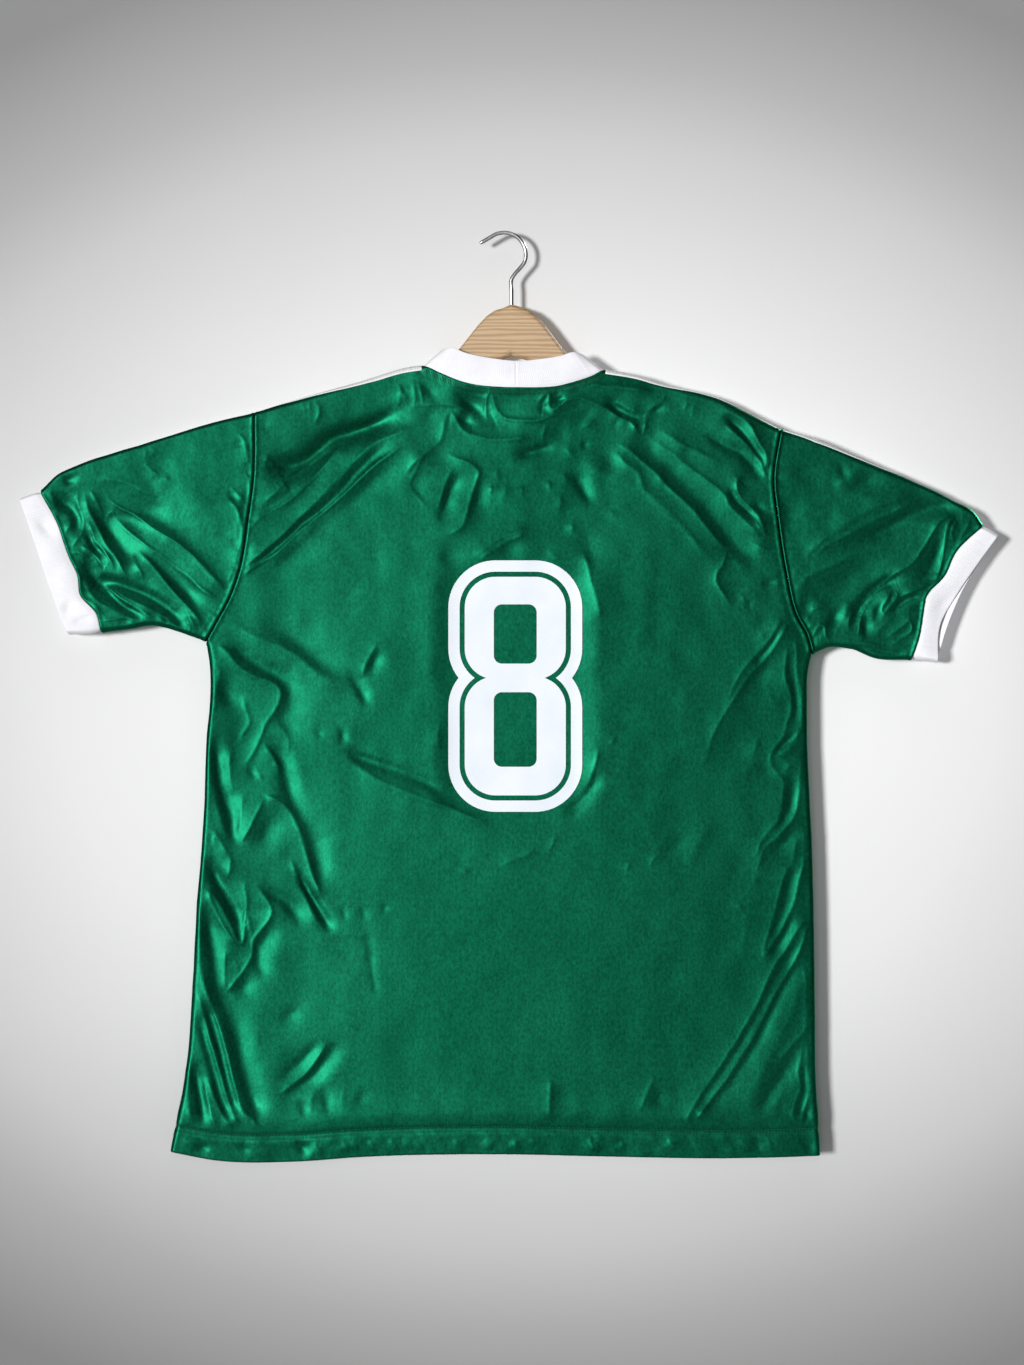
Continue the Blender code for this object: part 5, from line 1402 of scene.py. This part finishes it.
def counter(low, high):
    """Opening of one loop: a rectangle with rounded corners."""
    outline = []
    for x, z, start in ((1, 1, 0), (-1, 1, 90), (-1, -1, 180), (1, -1, 270)):
        centre = (x * (COUNTER_HALF_WIDTH - COUNTER_RADIUS), (high if z > 0 else low) - z * COUNTER_RADIUS)
        outline += arc(centre, COUNTER_RADIUS, start, start + 90)
    return outline


def print_sheet(name, outlines, finish, node, cell=2.4 * MM):
    """Outlines filled, cut into small cells, laid on the cloth of the back and given a thin rim."""
    curve = bpy.data.curves.new(name, "CURVE")
    curve.dimensions = "2D"
    curve.fill_mode = "BOTH"
    for outline in outlines:
        spline = curve.splines.new("POLY")
        spline.points.add(len(outline) - 1)
        for point, (x, z) in zip(spline.points, outline):
            point.co = (x, z, 0, 1)
        spline.use_cyclic_u = True
    helper = bpy.data.objects.new(name, curve)
    bpy.context.scene.collection.objects.link(helper)
    mesh = bpy.data.meshes.new_from_object(helper)
    bpy.data.objects.remove(helper)
    bm = bmesh.new()
    bm.from_mesh(mesh)
    bmesh.ops.remove_doubles(bm, verts=bm.verts, dist=1e-6)
    bmesh.ops.dissolve_limit(bm, angle_limit=0.001, verts=bm.verts, edges=bm.edges)
    low = np.array([min(v.co[k] for v in bm.verts) for k in (0, 1)])
    high = np.array([max(v.co[k] for v in bm.verts) for k in (0, 1)])
    for axis in (0, 1):
        normal = (1, 0, 0) if axis == 0 else (0, 1, 0)
        for place in np.arange(low[axis] + cell, high[axis], cell):
            where = (place, 0, 0) if axis == 0 else (0, place, 0)
            parts = bm.verts[:] + bm.edges[:] + bm.faces[:]
            bmesh.ops.bisect_plane(bm, geom=parts, plane_co=where, plane_no=normal, dist=1e-6)
    for face in bm.faces:
        if face.normal.z < 0:
            face.normal_flip()
    top = list(bm.verts)
    rim = bmesh.ops.extrude_edge_only(bm, edges=[e for e in bm.edges if e.is_boundary])
    rim = [v for v in rim["geom"] if isinstance(v, bmesh.types.BMVert)]
    for group, lift in ((top, 0.75 * MM), (rim, -0.35 * MM)):
        flat = np.array([(v.co.x, v.co.y) for v in group]) + FIGURE_WAIST
        points = cloth_points(flat[None], "back", "print", lift=lift)[0][0]
        for vert, point in zip(group, points):
            vert.co = point
    bmesh.ops.triangulate(bm, faces=[f for f in bm.faces if len(f.verts) > 4])
    made = bpy.data.meshes.new(name)
    bm.to_mesh(made)
    bm.free()
    made.shade_smooth()
    made.set_sharp_from_angle(angle=math.radians(50))
    return keep(link(name, made, finish), "white_print", node)


# ---------------------------------------------------------------- threads


def stitches(name, starts, ends, normals, thick, finish, slot):
    """Short threads from starts to ends, each a slim bead that rises a little in its middle."""
    verts, faces = [], []
    sides = 5
    for a, b, n in zip(starts, ends, normals):
        way = b - a
        across = np.cross(way / np.linalg.norm(way), n)
        first = len(verts)
        verts.append(a)
        for t, rise in ((0.3, 1.0), (0.7, 1.0)):
            centre = a + t * way + 0.25 * thick * rise * n
            for k in range(sides):
                angle = 2 * math.pi * k / sides
                verts.append(centre + thick / 2 * (math.cos(angle) * across + math.sin(angle) * n))
        verts.append(b)
        for k in range(sides):
            j = (k + 1) % sides
            faces.append((first, first + 1 + j, first + 1 + k))
            faces.append((first + 1 + k, first + 1 + j, first + 1 + sides + j, first + 1 + sides + k))
            faces.append((first + 1 + sides + k, first + 1 + sides + j, first + 1 + 2 * sides))
    mesh = bpy.data.meshes.new(name)
    mesh.from_pydata([tuple(v) for v in verts], [], faces)
    mesh.shade_smooth()
    return keep(link(name, mesh, finish), slot)


def stitch_row(curve, pitch, share_on, side):
    """Starts, ends and normals of stitches along an XZ curve on the cloth."""
    count = int(length_of(curve) / pitch)
    at = (np.arange(count) + 0.5) / count
    half = share_on / 2 / count
    pair = [along(curve, at - half), along(curve, at + half)]
    points = [cloth_points(p[None], side, "body", lift=0.05 * MM)[0][0] for p in pair]
    normals = cloth_points(pair[0][None], side, "body")[1][0]
    return points[0], points[1], normals


def hem_stitches(side, finish):
    rows = []
    for up in HEM_ROWS:
        x = np.linspace(-322 * MM, 307 * MM, 200)
        z = np.interp(x, HEM_LINE[:, 0], HEM_LINE[:, 1]) + up
        rows.append(stitch_row(np.stack([x, z], -1), 3.1 * MM, 0.78, side))
    return stitches(side + "_hem_thread", *(np.concatenate(c) for c in zip(*rows)), 0.75 * MM, finish, "green_cloth")


def neck_stitches(side, finish):
    """Cover stitch below the collar: slanting threads between two rows."""
    curve = NECKLINES[side]
    inner, outer = moved_across(curve, -2.6 * MM), moved_across(curve, -8.2 * MM)
    count = int(length_of(curve) / (1.7 * MM))
    at = np.linspace(0.015, 0.985, count)
    slant = 0.35 / count
    points = [
        cloth_points(along(line, at + shift)[None], side, "body", lift=0.05 * MM)
        for line, shift in ((inner, -slant), (outer, slant))
    ]
    starts, ends, normals = points[0][0][0], points[1][0][0], points[0][1][0]
    return stitches(side + "_neck_thread", starts, ends, normals, 0.6 * MM, finish, "green_cloth")


def stripe_stitches(side, finish):
    """The lines that hold the tape: one along each edge and two across it beside the collar."""
    total = length_of(ridge_line(side))
    starts, ends = [], []
    for share in (0.09, 0.91):
        at = np.arange(6 * MM, total - 6 * MM, 3.0 * MM)
        starts.append(stripe_points(side, at, share, 0.72 * MM))
        ends.append(stripe_points(side, at + 2.3 * MM, share, 0.72 * MM))
    for place in (14 * MM, 21 * MM):
        share = np.linspace(0.06, 0.92, 12)
        for first, second in zip(share[:-1], share[1:]):
            starts.append(stripe_points(side, np.array([place]), first, 0.72 * MM))
            ends.append(stripe_points(side, np.array([place]), 0.2 * first + 0.8 * second, 0.72 * MM))
    starts, ends = np.concatenate(starts), np.concatenate(ends)
    normals = np.tile([0.0, -0.3, 0.95], (len(starts), 1))
    return stitches(side + "_stripe_thread", starts, ends, normals, 0.5 * MM, finish, "white_tape")


# ---------------------------------------------------------------- materials


def new_material(name, **values):
    made = bpy.data.materials.new(name)
    made.use_nodes = True
    shader = made.node_tree.nodes["Principled BSDF"]
    for key, value in values.items():
        shader.inputs[key.replace("_", " ")].default_value = value
    return made, made.node_tree, shader


def add(tree, kind, inputs=None, **settings):
    node = tree.nodes.new(kind)
    for key, value in settings.items():
        setattr(node, key, value)
    for key, value in (inputs or {}).items():
        if isinstance(value, bpy.types.NodeSocket):
            tree.links.new(value, node.inputs[key])
        else:
            node.inputs[key].default_value = value
    return node


def colour(r, g, b):
    return (r, g, b, 1.0)


def noise(tree, where, scale, detail=2.0, roughness=0.5):
    inputs = {"Vector": where, "Scale": scale, "Detail": detail, "Roughness": roughness}
    return add(tree, "ShaderNodeTexNoise", inputs).outputs["Fac"]


def waves(tree, where, scale, direction, distortion, detail=1.0, detail_scale=1.0):
    inputs = {
        "Vector": where,
        "Scale": scale,
        "Distortion": distortion,
        "Detail": detail,
        "Detail Scale": detail_scale,
    }
    return add(tree, "ShaderNodeTexWave", inputs, bands_direction=direction).outputs["Fac"]


def bump(tree, height, distance, strength, under=None):
    """A bump over another one, if there is one under it."""
    inputs = {"Height": height, "Distance": distance, "Strength": strength}
    if under is not None:
        inputs["Normal"] = under
    return add(tree, "ShaderNodeBump", inputs).outputs["Normal"]


def ramp(tree, factor, low, high, dark, light):
    node = add(tree, "ShaderNodeValToRGB", {"Fac": factor})
    node.color_ramp.elements[0].position, node.color_ramp.elements[0].color = low, dark
    node.color_ramp.elements[1].position, node.color_ramp.elements[1].color = high, light
    return node.outputs["Color"]


def mix(tree, factor, a, b, blend="MIX"):
    node = add(tree, "ShaderNodeMix", data_type="RGBA", blend_type=blend)
    for key, value in ((0, factor), (6, a), (7, b)):
        if isinstance(value, bpy.types.NodeSocket):
            tree.links.new(value, node.inputs[key])
        else:
            node.inputs[key].default_value = value
    return node.outputs[2]


def scale_range(tree, value, low, high):
    return add(tree, "ShaderNodeMapRange", {"Value": value, "To Min": low, "To Max": high}).outputs["Result"]


def satin_cloth():
    """Shiny green polyester knit."""
    made, tree, shader = new_material(
        "green satin knit", Metallic=0.9, Specular_IOR_Level=0.2, Specular_Tint=colour(0.15, 1.0, 0.65)
    )
    where = add(tree, "ShaderNodeTexCoord").outputs["Object"]
    patches = noise(tree, where, 9, 3)
    upright = add(tree, "ShaderNodeMapping", {"Vector": where, "Scale": (1.0, 1.0, 0.7)}).outputs["Vector"]
    grain = noise(tree, upright, 400, 2, 0.6)
    base = ramp(tree, patches, 0.35, 0.65, colour(0.0030, 0.100, 0.049), colour(0.0042, 0.118, 0.058))
    darker = mix(tree, 1.0, base, colour(0.40, 0.40, 0.40), "MULTIPLY")
    lighter = mix(tree, 1.0, base, colour(1.60, 1.60, 1.60), "MULTIPLY")
    tree.links.new(mix(tree, grain, darker, lighter), shader.inputs["Base Color"])
    tree.links.new(scale_range(tree, grain, 0.41, 0.50), shader.inputs["Roughness"])
    knit = bump(tree, waves(tree, where, 330, "Z", 1.2), 0.03 * MM, 0.5)
    knit = bump(tree, waves(tree, where, 260, "X", 0.8), 0.03 * MM, 0.5, knit)
    small = bump(tree, grain, 0.1 * MM, 0.65, knit)
    tree.links.new(bump(tree, noise(tree, where, 90, 2), 0.6 * MM, 0.25, small), shader.inputs["Normal"])
    return made


def rib_cloth():
    """White rib knit."""
    made, tree, shader = new_material(
        "white rib knit", Roughness=0.78, Sheen_Weight=0.25, Sheen_Roughness=0.5, Specular_IOR_Level=0.35
    )
    where = add(tree, "ShaderNodeTexCoord").outputs["Object"]
    base = ramp(tree, noise(tree, where, 60, 3), 0.3, 0.7, colour(0.82, 0.82, 0.87), colour(0.89, 0.89, 0.93))
    tree.links.new(base, shader.inputs["Base Color"])
    loops = bump(tree, waves(tree, where, 250, "Z", 1.5), 0.1 * MM, 0.5)
    tree.links.new(bump(tree, noise(tree, where, 900, 2), 0.2 * MM, 0.5, loops), shader.inputs["Normal"])
    return made


def tape_cloth():
    """White woven tape of the stripes."""
    made, tree, shader = new_material("white woven tape", Specular_IOR_Level=0.5, Sheen_Weight=0.15)
    where = add(tree, "ShaderNodeTexCoord").outputs["Object"]
    base = ramp(tree, noise(tree, where, 90, 2), 0.3, 0.7, colour(0.80, 0.83, 0.82), colour(0.88, 0.90, 0.89))
    tree.links.new(base, shader.inputs["Base Color"])
    weave = waves(tree, where, 330, "DIAGONAL", 0.6, 2)
    tree.links.new(scale_range(tree, weave, 0.42, 0.6), shader.inputs["Roughness"])
    tree.links.new(bump(tree, weave, 0.1 * MM, 0.5), shader.inputs["Normal"])
    return made


def print_film():
    """White printed film of the figure."""
    made, tree, shader = new_material("white print", Specular_IOR_Level=0.5)
    where = add(tree, "ShaderNodeTexCoord").outputs["Object"]
    base = ramp(tree, noise(tree, where, 26, 3), 0.3, 0.7, colour(0.76, 0.82, 0.88), colour(0.84, 0.88, 0.93))
    tree.links.new(base, shader.inputs["Base Color"])
    grain = noise(tree, where, 600, 2)
    tree.links.new(scale_range(tree, grain, 0.42, 0.62), shader.inputs["Roughness"])
    fine = bump(tree, grain, 0.15 * MM, 0.5)
    tree.links.new(bump(tree, noise(tree, where, 60, 2), 0.8 * MM, 0.25, fine), shader.inputs["Normal"])
    return made


def thread(name, tone):
    made, tree, shader = new_material(name, Specular_IOR_Level=0.25)
    where = add(tree, "ShaderNodeTexCoord").outputs["Object"]
    twist = noise(tree, where, 1500, 1)
    base = ramp(tree, twist, 0.3, 0.7, colour(*(0.8 * t for t in tone)), colour(*(min(1.0, 1.2 * t) for t in tone)))
    tree.links.new(base, shader.inputs["Base Color"])
    tree.links.new(scale_range(tree, twist, 0.35, 0.55), shader.inputs["Roughness"])
    return made


def pale_wood():
    made, tree, shader = new_material("pale lacquered wood", Coat_Weight=0.25, Coat_Roughness=0.25)
    where = add(tree, "ShaderNodeTexCoord").outputs["Object"]
    stretched = add(tree, "ShaderNodeMapping", {"Vector": where, "Scale": (6, 60, 60)}).outputs["Vector"]
    rings = waves(tree, stretched, 1.2, "Z", 7, 3, 1.4)
    base = ramp(tree, rings, 0.1, 0.9, colour(0.42, 0.27, 0.14), colour(0.62, 0.44, 0.26))
    along_grain = add(tree, "ShaderNodeMapping", {"Vector": where, "Scale": (40, 900, 900)}).outputs["Vector"]
    pores = noise(tree, along_grain, 1.0, 2)
    base = mix(tree, scale_range(tree, pores, 0.0, 0.35), base, colour(0.33, 0.2, 0.1))
    tree.links.new(base, shader.inputs["Base Color"])
    tree.links.new(scale_range(tree, pores, 0.32, 0.5), shader.inputs["Roughness"])
    tree.links.new(bump(tree, pores, 0.2 * MM, 0.4), shader.inputs["Normal"])
    return made


def steel_wire():
    made, tree, shader = new_material("galvanised steel wire", Metallic=1.0)
    where = add(tree, "ShaderNodeTexCoord").outputs["Object"]
    smear = noise(tree, where, 180, 4, 0.6)
    base = ramp(tree, smear, 0.3, 0.7, colour(0.42, 0.41, 0.41), colour(0.62, 0.61, 0.61))
    tree.links.new(base, shader.inputs["Base Color"])
    tree.links.new(scale_range(tree, smear, 0.22, 0.42), shader.inputs["Roughness"])
    tree.links.new(bump(tree, noise(tree, where, 1400, 2), 0.1 * MM, 0.3), shader.inputs["Normal"])
    return made


# ---------------------------------------------------------------- hanger


def hook(finish):
    """Wire hook: a straight stem, a bend out to the right, most of a circle, and a straight tip."""
    centre = np.array([0.0, WIRE / 2 - HOOK_RADIUS])
    around = [centre + HOOK_RADIUS * np.array([math.cos(a), math.sin(a)]) for a in np.radians(np.arange(-18, 133, 12))]
    neck = np.array([STEM_X, -44 * MM])
    bend = [
        np.array([STEM_X, WOOD_TOP - STEM_DEPTH]),
        np.array([STEM_X, -55 * MM]),
        neck,
        neck + np.array([3.2 * MM, 5.2 * MM]),
        neck + np.array([8.3 * MM, 11.0 * MM]),
    ]
    tip = around[-1] + 13 * MM * np.array([-0.86, -0.5])
    points = along(np.array(bend + around + [tip]), np.linspace(0, 1, 150))
    curve = bpy.data.curves.new("hook_wire", "CURVE")
    curve.dimensions = "3D"
    curve.bevel_depth = WIRE / 2
    curve.bevel_resolution = 6
    curve.use_fill_caps = True
    spline = curve.splines.new("POLY")
    spline.points.add(len(points) - 1)
    taper = np.minimum(1, np.sqrt(np.maximum(1 - (np.arange(150) - 146).clip(0) / 4, 0.25)))
    for target, (x, z), radius in zip(spline.points, points, taper):
        target.co = (x, 0, z, 1)
        target.radius = radius
    made = bpy.data.objects.new("hook_wire", curve)
    made.data.materials.append(finish)
    bpy.context.scene.collection.objects.link(made)
    return keep(made, "steel_wire", "hanger_hook")


# ---------------------------------------------------------------- stage


def stage():
    """Pale wall behind the jersey with a painted pool of light in its middle, seen only from the front, and a pale
    floor.
    """
    wall_paint, tree, shader = new_material("wall paint", Roughness=0.9, Specular_IOR_Level=0.0)
    where = add(tree, "ShaderNodeTexCoord").outputs["Object"]
    centred = add(
        tree, "ShaderNodeMapping", {"Vector": where, "Location": (-0.03, 0.0, 0.74), "Scale": (1.3, 0.0, 1.64)}
    ).outputs["Vector"]
    away = add(tree, "ShaderNodeVectorMath", {0: centred}, operation="LENGTH").outputs["Value"]
    half = add(tree, "ShaderNodeMath", {0: away, 1: 0.5}, operation="MULTIPLY").outputs["Value"]
    # Painted light: the wall's colour falls from 0.86 in its middle to 0.27 at its corners, a painted pool of light
    # with painted darker corners.
    painted_light_ramp = add(tree, "ShaderNodeValToRGB", {"Fac": half})
    stops = painted_light_ramp.color_ramp.elements
    stops[0].position, stops[0].color = 0.22, colour(0.86, 0.86, 0.86)
    stops[1].position, stops[1].color = 0.62, colour(0.27, 0.27, 0.27)
    for place, tone in ((0.30, 0.79), (0.45, 0.57), (0.515, 0.43)):
        stops.new(place).color = colour(tone, tone, tone)
    painted_light = painted_light_ramp.outputs["Color"]
    painted_light_dimmed = mix(tree, 1.0, painted_light, colour(0.95, 0.95, 0.95), "MULTIPLY")
    tree.links.new(mix(tree, noise(tree, where, 3, 2), painted_light, painted_light_dimmed), shader.inputs["Base Color"])
    output = tree.nodes["Material Output"]
    clear = add(tree, "ShaderNodeBsdfTransparent")
    behind = add(tree, "ShaderNodeNewGeometry").outputs["Backfacing"]
    choice = add(tree, "ShaderNodeMixShader", {0: behind, 1: shader.outputs["BSDF"], 2: clear.outputs["BSDF"]})
    tree.links.new(choice.outputs["Shader"], output.inputs["Surface"])

    floor_paint, tree, shader = new_material("floor paint", Roughness=0.85)
    where = add(tree, "ShaderNodeTexCoord").outputs["Object"]
    base = ramp(tree, noise(tree, where, 2, 3), 0.3, 0.7, colour(0.70, 0.70, 0.70), colour(0.74, 0.74, 0.74))
    tree.links.new(base, shader.inputs["Base Color"])

    floor_z, wall_y = -1.35, 0.0175
    wall = bpy.data.meshes.new("wall")
    corners = [(x, wall_y, z) for x, z in ((-4, floor_z), (4, floor_z), (4, 2.5), (-4, 2.5))]
    wall.from_pydata(corners, [], [(0, 1, 2, 3)])
    wall = link("wall", wall, wall_paint)
    wall.visible_shadow = False
    wall.visible_diffuse = False
    wall.visible_glossy = False
    floor = bpy.data.meshes.new("floor")
    floor.from_pydata([(-8, -8, floor_z), (8, -8, floor_z), (8, 8, floor_z), (-8, 8, floor_z)], [], [(0, 1, 2, 3)])
    link("floor", floor, floor_paint)


def light(name, kind, place, aim, energy, size):
    data = bpy.data.lights.new(name, kind)
    data.energy = energy
    if kind == "AREA":
        data.shape = "RECTANGLE"
        data.size, data.size_y = size
    else:
        data.angle = size
    made = bpy.data.objects.new(name, data)
    made.location = place
    way = np.array(aim, float) - np.array(place, float)
    made.rotation_euler = (
        math.atan2(math.hypot(way[0], way[1]), -way[2]),
        0,
        math.atan2(way[1], way[0]) - math.pi / 2,
    )
    bpy.context.scene.collection.objects.link(made)
    return made


def lights_and_camera():
    scene = bpy.context.scene
    scene.view_settings.view_transform = "Standard"
    scene.view_settings.look = "None"
    world = bpy.data.worlds.new("studio")
    world.use_nodes = True
    background = world.node_tree.nodes["Background"]
    background.inputs["Color"].default_value = colour(0.80, 0.81, 0.83)
    background.inputs["Strength"].default_value = 0.06
    scene.world = world
    centre = (0, 0, -0.5)
    light("key", "SUN", (-1.5, -2.2, -0.43), centre, 3.1, math.radians(10))
    light("fill", "AREA", (-0.3, -3.6, 0.0), centre, 12, (1.2, 1.2))
    light("above", "AREA", (0, -1.0, 1.6), (0, 0, -0.3), 5, (1.4, 1.0))
    light("behind", "SUN", (1.5, 2.2, 0.5), centre, 2.4, math.radians(10))

    data = bpy.data.cameras.new("camera")
    data.lens = 85
    data.sensor_width = 36
    camera = bpy.data.objects.new("camera", data)
    camera.location = (7.8 * MM, -3.17, -440.5 * MM)
    camera.rotation_euler = (math.pi / 2, 0, 0)
    scene.collection.objects.link(camera)
    scene.camera = camera


def main():
    cloth, rib, tape, film = satin_cloth(), rib_cloth(), tape_cloth(), print_film()
    green_thread = thread("green thread", (0.006, 0.11, 0.055))
    grey_thread = thread("grey thread", (0.42, 0.45, 0.45))
    back, front = body_panel("back", cloth), body_panel("front", cloth)
    for side in ("left", "right"):
        arm = sleeve(side, cloth)
        band = cuff(side, rib)
        tape_piece = stripe(side, tape)
        stripe_stitches(side, grey_thread)
    neck = collar(rib)
    for name, outlines in (
        ("figure", [eight_outline(0)] + [counter(*span) for span in COUNTERS]),
        ("figure_keyline", [eight_outline(distance) for distance in KEYLINE]),
    ):
        print_sheet(name + "_film", outlines, film, name)
    for side in ("back", "front"):
        hem_stitches(side, green_thread)
        neck_stitches(side, green_thread)
    hook(steel_wire())
    wood = pale_wood()
    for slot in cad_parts["hanger_wood"].material_slots:
        slot.material = wood
    stage()
    lights_and_camera()


main()
